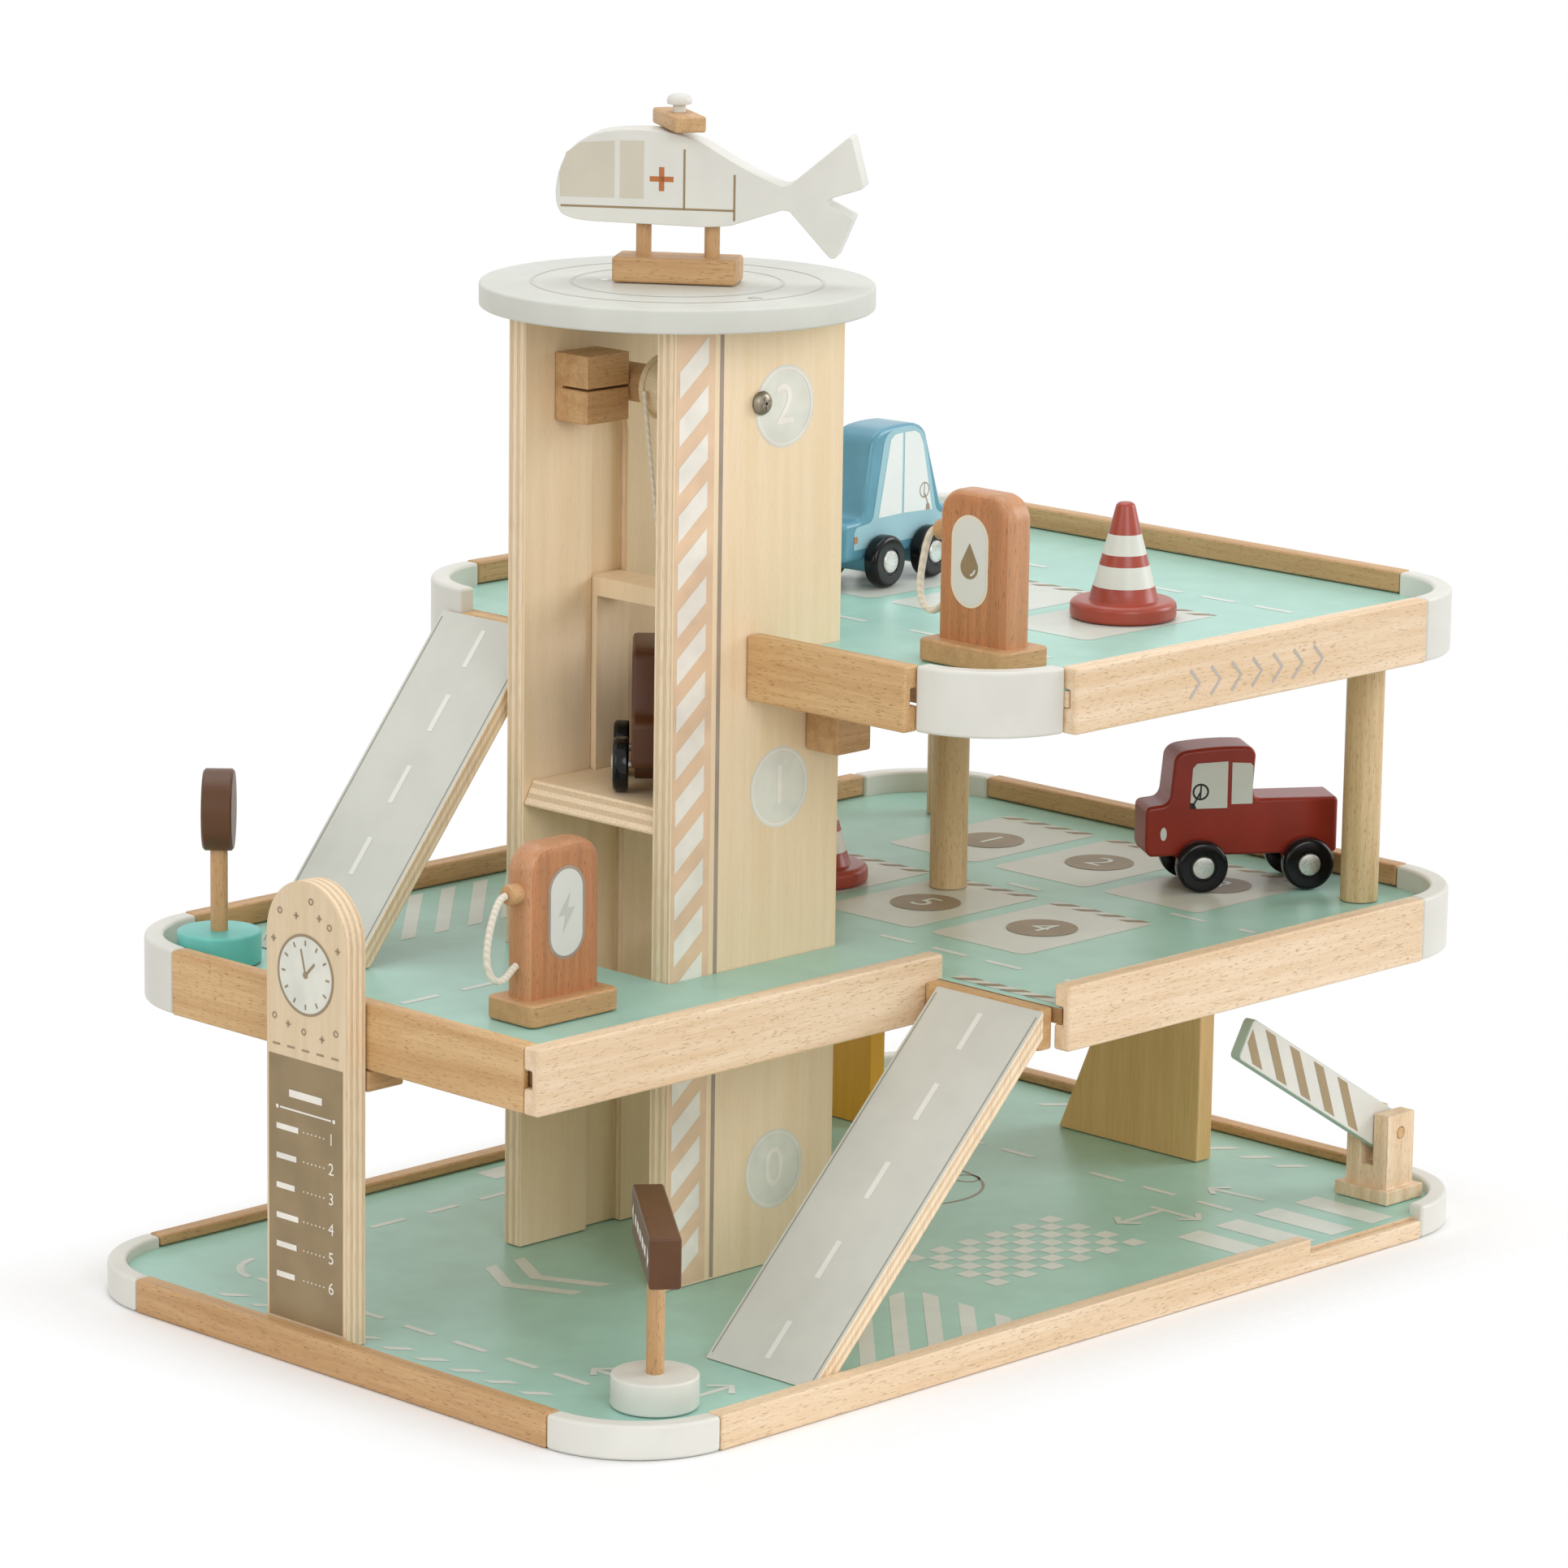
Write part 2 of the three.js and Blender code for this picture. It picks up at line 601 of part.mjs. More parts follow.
// Winding gear under the helipad: shaft with its spool, front screw, crank and brake block
function buildWindingGear() {
  const shaftFront = frontWallInner + clearance;
  const shaftBack = towerBack + clearance * 2 + crankThickness + crankHubLength - overrun;
  const spoolBack = rearWallInner - spoolFromWall;
  const spoolFront = spoolBack - spoolWidth;
  const pin = turned([
    [0, shaftFront], [shaftRadius, shaftFront], [shaftRadius, spoolFront],
    [spoolFlangeRadius, spoolFront], [spoolFlangeRadius, spoolFront + spoolFlangeWidth],
    [spoolRadius, spoolFront + spoolFlangeWidth], [spoolRadius, spoolBack - spoolFlangeWidth],
    [spoolFlangeRadius, spoolBack - spoolFlangeWidth], [spoolFlangeRadius, spoolBack],
    [shaftRadius, spoolBack], [shaftRadius, shaftBack], [0, shaftBack],
  ], 28).rotateX(-Math.PI / 2);
  const screwBore = rodAlongY(screwRadius + clearance, shaftFront - overrun,
    shaftFront + screwDepth + clearance, 16);
  addPiece(building, 'winding_shaft', cut(pin, screwBore).translate(guideCentre, 0, shaftHeight),
    colours.beechShade);
  const screw = turned([
    [0, towerFront - screwHeadHeight - clearance], [screwHeadRadius * 0.7, towerFront - screwHeadHeight - clearance],
    [screwHeadRadius, towerFront - screwHeadHeight / 2], [screwHeadRadius, towerFront - clearance],
    [screwRadius, towerFront - clearance], [screwRadius, shaftFront + screwDepth], [0, shaftFront + screwDepth],
  ], 16).rotateX(-Math.PI / 2);
  addPiece(building, 'shaft_screw', screw.translate(guideCentre, 0, shaftHeight), colours.steel, 0.3, 0.9);
  const hubFront = towerBack + clearance;
  const discFront = hubFront + crankHubLength;
  const discBack = discFront + crankThickness;
  const crankBlank = join(
    rodAlongY(crankHubRadius, hubFront, discFront + overrun / 2),
    rodAlongY(crankRadius, discFront, discBack, 40),
    rodAlongY(crankKnobRadius, discBack - overrun / 2, discBack + crankKnobLength, 20)
      .translate(0, 0, -crankKnobOffset),
  );
  const crankBore = rodAlongY(shaftRadius + clearance, hubFront - overrun, shaftBack + clearance);
  addPiece(building, 'lift_crank', cut(crankBlank, crankBore).translate(guideCentre, 0, shaftHeight),
    colours.beech);
  const brakeRight = guideCentre - shaftRadius - clearance;
  const brakeBack = rearWallInner - clearance;
  const brakeFront = brakeBack - brakeWidth;
  const brakeBottom = shaftHeight - brakeHeight / 2;
  const sawCut = block(brakeRight - brakeLength - overrun, brakeRight + overrun, brakeFront - overrun,
    brakeBack - brakeWidth * brakeWebShare, shaftHeight - brakeSawCut / 2, shaftHeight + brakeSawCut / 2);
  const brake = cut(block(brakeRight - brakeLength, brakeRight, brakeFront, brakeBack,
    brakeBottom, brakeBottom + brakeHeight), sawCut);
  addPiece(building, 'shaft_brake_block', brake, colours.beechShade);
}

// Lift car: a floor with ramped ends, hung in a frame of two side boards and a roof bar
const sideFront = frontWallInner - guideDepth + clearance;
const sideBack = rearWallInner + guideDepth - clearance;
const sideHalf = guideWidth / 2 - clearance;
const cordTopPoint = new THREE.Vector3(guideCentre - spoolRadius - liftCordRadius - clearance,
  rearWallInner - spoolFromWall - spoolWidth / 2 + spoolFlangeWidth, shaftHeight);
const cordFootPoint = new THREE.Vector3(guideCentre - sideHalf / 1.5, (towerFront + towerBack) / 2,
  liftRoofTop + clearance);

function buildLift() {
  const floorFront = frontWallInner + clearance;
  const floorBack = rearWallInner - clearance;
  const floorBottom = liftFloorTop - liftFloorThickness;
  const floorShape = shapeOf([
    [towerLeft, floorBottom], [towerRight, floorBottom],
    [towerRight - liftFloorBevel, liftFloorTop], [towerLeft + liftFloorBevel, liftFloorTop],
  ]);
  const boardNotch = (y0, y1) => block(guideCentre - sideHalf - clearance, guideCentre + sideHalf + clearance,
    y0, y1, floorBottom - overrun, liftFloorTop + overrun);
  const floor = cut(standing(floorShape, floorFront, floorBack),
    boardNotch(floorFront - overrun, sideFront + liftSideThickness + clearance),
    boardNotch(sideBack - liftSideThickness - clearance, floorBack + overrun));
  addPiece(building, 'lift_floor', floor, colours.birch, 0.55);
  const roofBottom = liftRoofTop - liftRoofThickness;
  const frame = join(
    block(guideCentre - sideHalf, guideCentre + sideHalf, sideFront, sideFront + liftSideThickness,
      floorBottom, liftRoofTop),
    block(guideCentre - sideHalf, guideCentre + sideHalf, sideBack - liftSideThickness, sideBack,
      floorBottom, liftRoofTop),
    block(guideCentre - sideHalf, guideCentre + sideHalf, sideFront, sideBack, roofBottom, liftRoofTop),
  );
  const eye = rod(cordEyeRadius, roofBottom - overrun, liftRoofTop + overrun, 12)
    .translate(cordFootPoint.x, cordFootPoint.y, 0);
  addPiece(building, 'lift_frame', cut(frame, eye), colours.birch, 0.55);
  const cordPath = new THREE.LineCurve3(cordFootPoint, cordTopPoint);
  const section = new THREE.Shape();
  section.absarc(0, 0, liftCordRadius, 0, Math.PI * 2, false);
  const cord = new THREE.ExtrudeGeometry(section, { steps: 6, curveSegments: 4, extrudePath: cordPath });
  addPiece(building, 'lift_cord', cord, colours.cord, 0.9);
}

// Posts, support panels and the blocks that hold a deck to its neighbour
function buildSupports() {
  const upperUnderside = upperTop - panelThickness;
  const middleUnderside = middleTop - panelThickness;
  const posts = [['front_middle', 'frontMiddlePost'], ['front_right', 'frontRightPost'],
    ['back_right', 'backRightPost']];
  for (const [name, key] of posts) {
    const place = placeOf(key, middleRight);
    const post = rod(postRadius, middleTop + clearance, upperUnderside - clearance);
    addPiece(building, `deck_post_${name}`, post.translate(place.x, place.y, 0), colours.birch, 0.55);
  }
  const rightSupportLeft = placeOf('rightSupport', middleRight).x;
  const backSupportLeft = placeOf('backSupport', middleRight).x;
  const backSupportFront = deckBack - backSupportFromBack;
  const supportShape = (front, bottomWidth) => shapeOf([
    [front, groundTop + clearance], [front + bottomWidth, groundTop + clearance],
    [front + supportTopWidth, middleUnderside - clearance], [front, middleUnderside - clearance],
  ]);
  addPiece(building, 'right_support_panel', upright(supportShape(rightSupportFront, rightSupportBottomWidth),
    rightSupportLeft, rightSupportLeft + plyThickness), colours.birch, 0.55);
  addPiece(building, 'back_support_panel', upright(supportShape(backSupportFront, backSupportBottomWidth),
    backSupportLeft, backSupportLeft + plyThickness), colours.birch, 0.55);
  addPiece(building, 'upper_deck_block', block(upperBlockLeft, upperBlockLeft + upperBlockLength,
    towerFront - clearance - upperBlockWidth, towerFront - clearance, upperBlockBottom,
    upperUnderside - clearance), colours.beechShade);
  const railBottom = middleTop + deckRailAboveDeck - deckRailHeight;
  const boardFront = placeOf('priceBoard', middleRight).y;
  addPiece(building, 'board_block', block(middleLeft, middleLeft + boardBlockLength, boardFront,
    boardFront + boardBlockWidth, boardBlockBottom, railBottom - clearance), colours.beechShade);
}

// A ramp is a slanted board whose foot lies flat on the floor and whose head meets a rail
function rampShape(run, low, high) {
  const rise = high - low;
  const slope = Math.atan2(rise, run);
  const footLength = rampThickness / Math.sin(slope);
  const headDrop = rampThickness / Math.cos(slope);
  return shapeOf([[0, low], [footLength, low], [run, high - headDrop], [run, high]]);
}

function buildRamps() {
  const lowerHead = notchRight - railThickness;
  const lowerRampFront = railThickness + clearance;
  const upperRampFront = towerBack + upperRampFromTower;
  const lower = standing(rampShape(lowerRampRun, groundTop + clearance, middleTop),
    lowerRampFront, lowerRampFront + rampWidth);
  addPiece(building, 'lower_ramp', lower.translate(lowerHead - lowerRampRun, 0, 0), colours.ramp);
  const upper = standing(rampShape(upperRampRun, middleTop + clearance, upperTop),
    upperRampFront, upperRampFront + rampWidth);
  addPiece(building, 'upper_ramp', upper.translate(upperLeftBehind - clearance - upperRampRun, 0, 0),
    colours.ramp);
}

function buildPriceBoard() {
  const radius = boardWidth / 2;
  const boardFront = placeOf('priceBoard', middleRight).y;
  const shape = new THREE.Shape();
  shape.moveTo(boardFront, groundTop + clearance);
  shape.lineTo(boardFront + boardWidth, groundTop + clearance);
  shape.lineTo(boardFront + boardWidth, boardTop - radius);
  shape.absarc(boardFront + radius, boardTop - radius, radius, 0, Math.PI, false);
  const boardLeft = railThickness + clearance;
  addPiece(building, 'price_board', upright(shape, boardLeft, boardLeft + boardThickness, 16),
    colours.board, 0.55);
}

// A car's outline is written in shares of its length and of its height above the sill
function carOutline(car) {
  const shape = new THREE.Shape();
  const place = ([along, up]) => [along * car.length - car.length / 2, car.sill + up * (car.height - car.sill)];
  const [first, ...rest] = car.outlineShares;
  shape.moveTo(...place(first));
  for (const step of rest) {
    if (step.length === 2) shape.lineTo(...place(step));
    else shape.quadraticCurveTo(...place(step.slice(0, 2)), ...place(step.slice(2)));
  }
  shape.closePath();
  return shape;
}

const pickup = {
  name: 'pickup', length: 78.5, height: 58.2, sill: 13.6, wheelSpacing: 43.4, wheelShift: 4.5,
  ends: ['front', 'rear'],
  outlineShares: [
    [0.03, 0], [0.0, 0.03, 0.0, 0.1], [0.0, 0.4], [0.0, 0.45, 0.03, 0.46], [0.08, 0.47],
    [0.12, 0.48, 0.125, 0.57], [0.14, 0.86], [0.15, 0.95, 0.22, 0.965], [0.38, 1.0, 0.52, 0.985],
    [0.56, 0.975, 0.565, 0.9], [0.555, 0.62], [0.555, 0.52, 0.6, 0.51], [0.98, 0.51],
    [1.0, 0.5, 1.0, 0.46], [1.0, 0.05], [1.0, 0.0, 0.97, 0],
  ],
};
const compactShares = [
  [0.03, 0], [0.0, 0.01, 0.0, 0.08], [0.0, 0.24], [0.0, 0.3, 0.04, 0.305], [0.13, 0.31],
  [0.165, 0.32, 0.17, 0.38], [0.235, 0.86], [0.26, 0.97, 0.36, 0.985], [0.46, 1.0, 0.58, 0.99],
  [0.7, 0.98, 0.73, 0.88], [0.86, 0.36], [0.87, 0.31, 0.9, 0.3], [0.95, 0.29],
  [1.0, 0.28, 1.0, 0.2], [1.0, 0.06], [1.0, 0.0, 0.96, 0],
];
const compact = {
  name: 'blue_car', length: 74, height: 63, sill: 11.5, wheelSpacing: 30.3, wheelShift: 0,
  ends: ['rear', 'front'],
  outlineShares: compactShares,
};
const liftCar = {
  name: 'brown_car', length: 60, height: 55, sill: 11.5, wheelSpacing: 30.3, wheelShift: 0,
  ends: ['front', 'rear'],
  outlineShares: [
    [0.03, 0], [0.0, 0.01, 0.0, 0.08], [0.0, 0.34], [0.0, 0.4, 0.04, 0.41], [0.12, 0.43],
    [0.15, 0.44, 0.17, 0.5], [0.22, 0.88], [0.24, 0.98, 0.34, 0.985], [0.5, 1.0, 0.8, 0.985],
    [0.9, 0.97, 0.92, 0.9], [1.0, 0.34], [1.0, 0.06], [1.0, 0.0, 0.96, 0],
  ],
};

// One turned piece holds both wheels and their axle, lying along Y
function wheelSet() {
  const outer = wheelTrack / 2 + wheelWidth / 2;
  const inner = wheelTrack / 2 - wheelWidth / 2;
  const side = (sign) => [
    [axleRadius, sign * inner],
    [wheelRadius, sign * inner],
    [wheelRadius, sign * (outer - wheelRound)],
    [wheelRadius - wheelRound, sign * outer],
    [wheelHubRadius, sign * outer],
    [wheelHubRadius, sign * (outer + wheelHubRise)],
    [0, sign * (outer + wheelHubRise)],
  ];
  const profile = [...side(-1).reverse(), ...side(1)];
  return turned(profile, wheelSides).rotateX(-Math.PI / 2);
}

function buildCar(car, place, turn, floor, colour) {
  const group = new THREE.Group();
  group.position.set(place.x, place.y, floor);
  group.rotation.z = THREE.MathUtils.degToRad(turn);
  building.add(group);
  const halfWidth = carWidth / 2;
  const axles = [-1, 1].map((side) => side * car.wheelSpacing / 2);
  const boss = (x) => rodAlongY(axleBossRadius, -halfWidth + carBevel, halfWidth - carBevel, 16)
    .translate(x, 0, wheelRadius);
  const bore = (x) => rodAlongY(axleBoreRadius, -halfWidth - overrun, halfWidth + overrun, 12)
    .translate(x, 0, wheelRadius);
  const shell = standing(carOutline(car), -halfWidth, halfWidth, { bevel: carBevel, curveSegments: 4 })
    .translate(-car.wheelShift, 0, 0);
  const body = cut(join(shell, ...axles.map(boss)), ...axles.map(bore));
  addPiece(group, `${car.name}_body`, body, colour, 0.5);
  axles.forEach((x, index) => {
    addPiece(group, `${car.name}_${car.ends[index]}_wheels`, wheelSet().translate(x, 0, wheelRadius),
      colours.black, 0.25);
  });
}

function buildCars() {
  const inLift = { x: towerLeft + liftCarFromTowerLeft, y: frontWallInner + liftCarFromFrontWall };
  buildCar(pickup, placeOf('pickup', middleRight), turnDegrees.pickup, middleTop + clearance, colours.red);
  buildCar(compact, placeOf('blueCar', upperRight), turnDegrees.blueCar, upperTop + clearance, colours.blue);
  buildCar(liftCar, inLift, turnDegrees.liftCar, liftFloorTop + clearance, colours.brown);
}

function cone() {
  return turned([
    [0, 0], [coneBaseRadius - coneBaseRound / 2, 0], [coneBaseRadius, coneBaseRound / 2],
    [coneBaseRadius, coneBaseHeight - coneBaseRound],
    [coneBaseRadius - coneBaseRound, coneBaseHeight],
    [coneFootRadius, coneBaseHeight],
    [coneTipRadius, coneHeight - coneTipRadius / 2],
    [coneTipRadius / 2, coneHeight],
    [0, coneHeight],
  ], 28);
}

function signFoot() {
  return turned([
    [0, 0], [signBaseRadius - clearance, 0], [signBaseRadius, clearance],
    [signBaseRadius, signBaseHeight - clearance], [signBaseRadius - clearance, signBaseHeight],
    [0, signBaseHeight],
  ], 28);
}

function buildSigns() {
  const roundGroup = new THREE.Group();
  roundGroup.position.set(roundSignFromLeft, deckBack - roundSignFromBack, middleTop + clearance);
  roundGroup.rotation.z = THREE.MathUtils.degToRad(turnDegrees.roundSign);
  building.add(roundGroup);
  const headCentre = roundSignHeight - signRoundRadius;
  const roundSign = join(signFoot(), rod(signPoleRadius, signBaseHeight - overrun, headCentre, 20),
    rodAlongY(signRoundRadius, -signThickness / 2, signThickness / 2, 32).translate(0, 0, headCentre));
  addPiece(roundGroup, 'round_sign', roundSign, colours.brown, 0.55);
  const longGroup = new THREE.Group();
  longGroup.position.set(longSignFromLeft, longSignFromFront, groundTop + clearance);
  longGroup.rotation.z = THREE.MathUtils.degToRad(turnDegrees.longSign);
  building.add(longGroup);
  const headShape = roundedRectangle(-longSignLength / 2, longSignLength / 2,
    longSignTop - longSignHeight, longSignTop, overrun / 2);
  const longSign = join(signFoot(), rod(signPoleRadius, signBaseHeight - overrun,
    longSignTop - longSignHeight / 2, 20), standing(headShape, -signThickness / 2, signThickness / 2,
    { curveSegments: 3 }));
  addPiece(longGroup, 'long_sign', longSign, colours.brown, 0.55);
}

// A fuel pump: plinth, tall body with round shoulders, knob and rope hole on its narrow left side.
// The rope's points stay as chosen: side, then distance out from the body, then height.
const ropePoints = [
  [0, 5.9, 39.4], [0, 7.6, 39.2], [0, 9.2, 38.0], [0, 10.6, 35.6], [0.2, 11.9, 32.4], [0.4, 13.0, 28.8],
  [0.5, 13.9, 25.0], [0.5, 14.6, 21.0], [0.4, 14.9, 17.0], [0.2, 14.4, 13.2], [0, 13.0, 10.2],
  [0, 10.8, 8.3], [0, 8.2, 7.8], [0, 5.8, 8.6], [0, 3.8, 10.2], [0, 2.2, 11.5], [0, 0.9, 12.3], [0, 0.3, 12.5],
];

function buildPump(name, x, y, turn, floor) {
  const group = new THREE.Group();
  group.position.set(x, y, floor);
  group.rotation.z = THREE.MathUtils.degToRad(turn);
  building.add(group);
  const plinth = plate(roundedRectangle(-pumpBaseLength / 2, pumpBaseLength / 2,
    -pumpBaseWidth / 2, pumpBaseWidth / 2, pumpBaseRound), 0, pumpBaseHeight, 3);
  const halfLength = pumpLength / 2;
  const top = pumpBaseHeight + pumpHeight;
  const shape = new THREE.Shape();
  shape.moveTo(-halfLength, pumpBaseHeight - overrun);
  shape.lineTo(halfLength, pumpBaseHeight - overrun);
  shape.lineTo(halfLength, top - pumpShoulder);
  shape.absarc(halfLength - pumpShoulder, top - pumpShoulder, pumpShoulder, 0, Math.PI / 2, false);
  shape.lineTo(-halfLength + pumpShoulder, top);
  shape.absarc(-halfLength + pumpShoulder, top - pumpShoulder, pumpShoulder, Math.PI / 2, Math.PI, false);
  const tall = standing(shape, -pumpWidth / 2, pumpWidth / 2, { bevel: pumpEdge, curveSegments: 6 });
  const alongX = (radius, x0, x1, height) => rod(radius, x0, x1, 16).rotateY(Math.PI / 2)
    .translate(0, 0, pumpBaseHeight + height);
  const knob = alongX(knobRadius, -halfLength - knobLength, -halfLength + overrun, knobHeight);
  const hole = alongX(ropeHoleRadius, -halfLength - overrun, -halfLength + ropeHoleDepth, ropeHoleHeight);
  const body = cut(join(plinth, tall, knob), hole);
  addPiece(group, name, body, colours.pump, 0.5);
  const points = ropePoints.map(([side, out, height]) => new THREE.Vector3(
    -halfLength - out, side, pumpBaseHeight + height));
  const path = new THREE.CatmullRomCurve3(points);
  const section = new THREE.Shape();
  section.absarc(0, 0, ropeRadius, 0, Math.PI * 2, false);
  const rope = new THREE.ExtrudeGeometry(section, { steps: 20, curveSegments: 4, extrudePath: path });
  addPiece(group, `${name}_rope`, rope, colours.cord, 0.95);
}

// The barrier: a slotted post on a plinth, and an arm that tips in the slot
function buildBarrier() {
  const group = new THREE.Group();
  group.position.set(placeOf('barrier', baseLength).x, barrierFromFront, groundTop + clearance);
  building.add(group);
  const slotHalf = armThickness / 2 + clearance * 2;
  const post = cut(
    join(
      block(-standBaseLength / 2, standBaseLength / 2, -standBaseWidth / 2, standBaseWidth / 2, 0, standBaseHeight),
      block(-standLength / 2, standLength / 2, -standWidth / 2, standWidth / 2,
        standBaseHeight - standEdge, standHeight),
    ),
    block(-standLength, standLength, -slotHalf, slotHalf, standSlotBottom, standHeight + overrun),
    rodAlongY(pivotRadius + clearance, -standWidth / 2 - overrun, standWidth / 2 + overrun, 16)
      .translate(0, 0, pivotHeight),
  );
  addPiece(group, 'barrier_post', post, colours.beech);
  const arm = roundedRectangle(-armReach, armTail, -armHeight / 2, armHeight / 2, armCornerRound);
  const armSolid = join(standing(arm, -armThickness / 2, armThickness / 2, { curveSegments: 4 }),
    rodAlongY(pivotRadius, -standWidth / 2, standWidth / 2, 16));
  const mesh = addPiece(group, 'barrier_arm', armSolid, colours.arm, 0.5);
  mesh.position.set(0, 0, pivotHeight);
  mesh.rotation.y = THREE.MathUtils.degToRad(turnDegrees.barrierArm);
}

// The helicopter's outline is written in shares of its length and height, nose first
const helicopterShares = [
  [0.02, 0.3], [-0.005, 0.38, 0.005, 0.55], [0.02, 0.85, 0.13, 0.95], [0.2, 1.0, 0.31, 0.99],
  [0.42, 0.98, 0.5, 0.87], [0.62, 0.68, 0.735, 0.575], [0.755, 0.57, 0.775, 0.61],
  [0.945, 0.97], [0.955, 0.985, 0.962, 0.965], [1.0, 0.59], [1.0, 0.565, 0.985, 0.558],
  [0.895, 0.485], [0.872, 0.44, 0.9, 0.42], [0.96, 0.345], [0.972, 0.33, 0.965, 0.31],
  [0.915, 0.01], [0.905, -0.005, 0.893, 0.01], [0.765, 0.365], [0.755, 0.38, 0.735, 0.375],
  [0.58, 0.245], [0.53, 0.22, 0.47, 0.222], [0.13, 0.24], [0.05, 0.245, 0.02, 0.3],
];
const helicopterNoseShare = 0.3925;
const helicopterBellyShare = 0.232;
const helicopterRoofShare = 0.985;

function buildHelicopter() {
  const group = new THREE.Group();
  const floor = helipadBottom + helipadThickness + clearance;
  group.position.set(guideCentre, (towerFront + towerBack) / 2, floor);
  group.rotation.z = THREE.MathUtils.degToRad(turnDegrees.helicopter);
  building.add(group);
  const bodyBottom = bodyUnderside - helicopterBellyShare * helicopterHeight;
  const place = ([along, up]) => [(along - helicopterNoseShare) * helicopterLength,
    bodyBottom + up * helicopterHeight];
  const shape = new THREE.Shape();
  const [first, ...rest] = helicopterShares;
  shape.moveTo(...place(first));
  for (const step of rest) {
    if (step.length === 2) shape.lineTo(...place(step));
    else shape.quadraticCurveTo(...place(step.slice(0, 2)), ...place(step.slice(2)));
  }
  shape.closePath();
  const bodyTop = bodyBottom + helicopterRoofShare * helicopterHeight;
  const pegBore = rod(rotorPegRadius + clearance, bodyTop - rotorPegDepth - clearance, bodyTop + overrun, 16);
  const strutBore = (x) => rod(strutRadius + clearance, 0, bodyUnderside + overrun * 2 + clearance, 16)
    .translate(x, 0, 0);
  const body = cut(
    standing(shape, -helicopterWidth / 2, helicopterWidth / 2, { curveSegments: 5 }),
    pegBore, strutBore(-strutSpacing / 2), strutBore(strutSpacing / 2),
  );
  addPiece(group, 'helicopter_body', body, colours.white, 0.5);
  const footShape = roundedRectangle(-standBlockLength / 2, standBlockLength / 2,
    -standBlockWidth / 2, standBlockWidth / 2, overrun / 2);
  const strut = (x) => rod(strutRadius, standBlockHeight - overrun, bodyUnderside + overrun * 2, 16)
    .translate(x, 0, 0);
  const foot = join(plate(footShape, 0, standBlockHeight, 3), strut(-strutSpacing / 2), strut(strutSpacing / 2));
  addPiece(group, 'helicopter_stand', foot, colours.beech);
  const barBottom = bodyTop + clearance * 2;
  const barTop = barBottom + rotorThickness;
  const neckTop = barTop + rotorPegNeck;
  const bar = block(-rotorLength / 2, rotorLength / 2, -rotorWidth / 2, rotorWidth / 2, barBottom, barTop);
  const rotorPeg = turned([
    [0, bodyTop - rotorPegDepth], [rotorPegRadius, bodyTop - rotorPegDepth], [rotorPegRadius, neckTop],
    [rotorPegHeadRadius, neckTop + rotorPegNeck / 4], [rotorPegHeadRadius, neckTop + rotorPegHeadHeight / 2],
    [rotorPegHeadRadius * 0.7, neckTop + rotorPegHeadHeight], [0, neckTop + rotorPegHeadHeight],
  ], 20);
  const rotor = addPiece(group, 'rotor', join(bar, rotorPeg), colours.beech);
  rotor.rotation.z = THREE.MathUtils.degToRad(turnDegrees.rotor);
}

buildBase();
buildMiddleDeck();
buildUpperDeck();
buildTower();
buildWindingGear();
buildLift();
buildSupports();
buildRamps();
buildPriceBoard();
buildCars();
const conePlaces = [
  { name: 'upper_cone', place: placeOf('upperCone', upperRight), floor: upperTop },
  { name: 'middle_cone', place: placeOf('middleCone', middleRight), floor: middleTop },
];
for (const { name, place, floor } of conePlaces) {
  const mesh = addPiece(building, name, cone(), colours.cone, 0.5);
  mesh.position.set(place.x, place.y, floor + clearance);
}
buildSigns();
buildPump('middle_pump', middlePumpFromLeft, middlePumpFromFront, turnDegrees.middlePump,
  middleTop + clearance);
buildPump('upper_pump', towerRight + upperPumpFromTower, upperPumpFromFront, turnDegrees.upperPump,
  upperTop + clearance);
buildBarrier();
buildHelicopter();

export default garage;
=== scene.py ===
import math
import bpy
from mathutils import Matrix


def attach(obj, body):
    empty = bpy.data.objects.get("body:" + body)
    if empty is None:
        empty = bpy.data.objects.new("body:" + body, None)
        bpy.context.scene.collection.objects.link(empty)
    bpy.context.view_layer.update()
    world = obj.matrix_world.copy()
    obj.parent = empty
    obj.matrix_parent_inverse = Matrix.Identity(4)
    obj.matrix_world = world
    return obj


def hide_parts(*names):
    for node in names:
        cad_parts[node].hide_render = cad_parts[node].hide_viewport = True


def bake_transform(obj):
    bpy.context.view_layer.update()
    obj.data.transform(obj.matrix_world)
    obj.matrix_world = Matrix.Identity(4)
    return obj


bl_info = {
    "name": "Toy parking garage",
    "version": (1, 0, 0),
    "blender": (4, 5, 0),
    "location": "View3D > Sidebar > Garage",
    "description": "Builds the painted wood, printed decks and loose toys of a parking garage with a lift",
    "category": "Object",
}

import bmesh
import bpy
from mathutils import Matrix, Vector

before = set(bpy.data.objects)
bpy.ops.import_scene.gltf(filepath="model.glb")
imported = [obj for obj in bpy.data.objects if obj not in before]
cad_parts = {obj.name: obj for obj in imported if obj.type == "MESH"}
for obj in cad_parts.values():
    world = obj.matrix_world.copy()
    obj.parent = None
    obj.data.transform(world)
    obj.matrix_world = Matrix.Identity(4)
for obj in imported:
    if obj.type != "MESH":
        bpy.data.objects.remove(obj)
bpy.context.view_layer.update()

# Everything in plan is written in millimetres from the base's left and front edges, and moved to the
# frame's centre at the end.
BASE_LENGTH = 480.0
BASE_WIDTH = 312.0
MILLIMETRE = 0.001
TO_FRAME = Matrix.Scale(MILLIMETRE, 4) @ Matrix.Translation((-BASE_LENGTH / 2, -BASE_WIDTH / 2, 0.0))

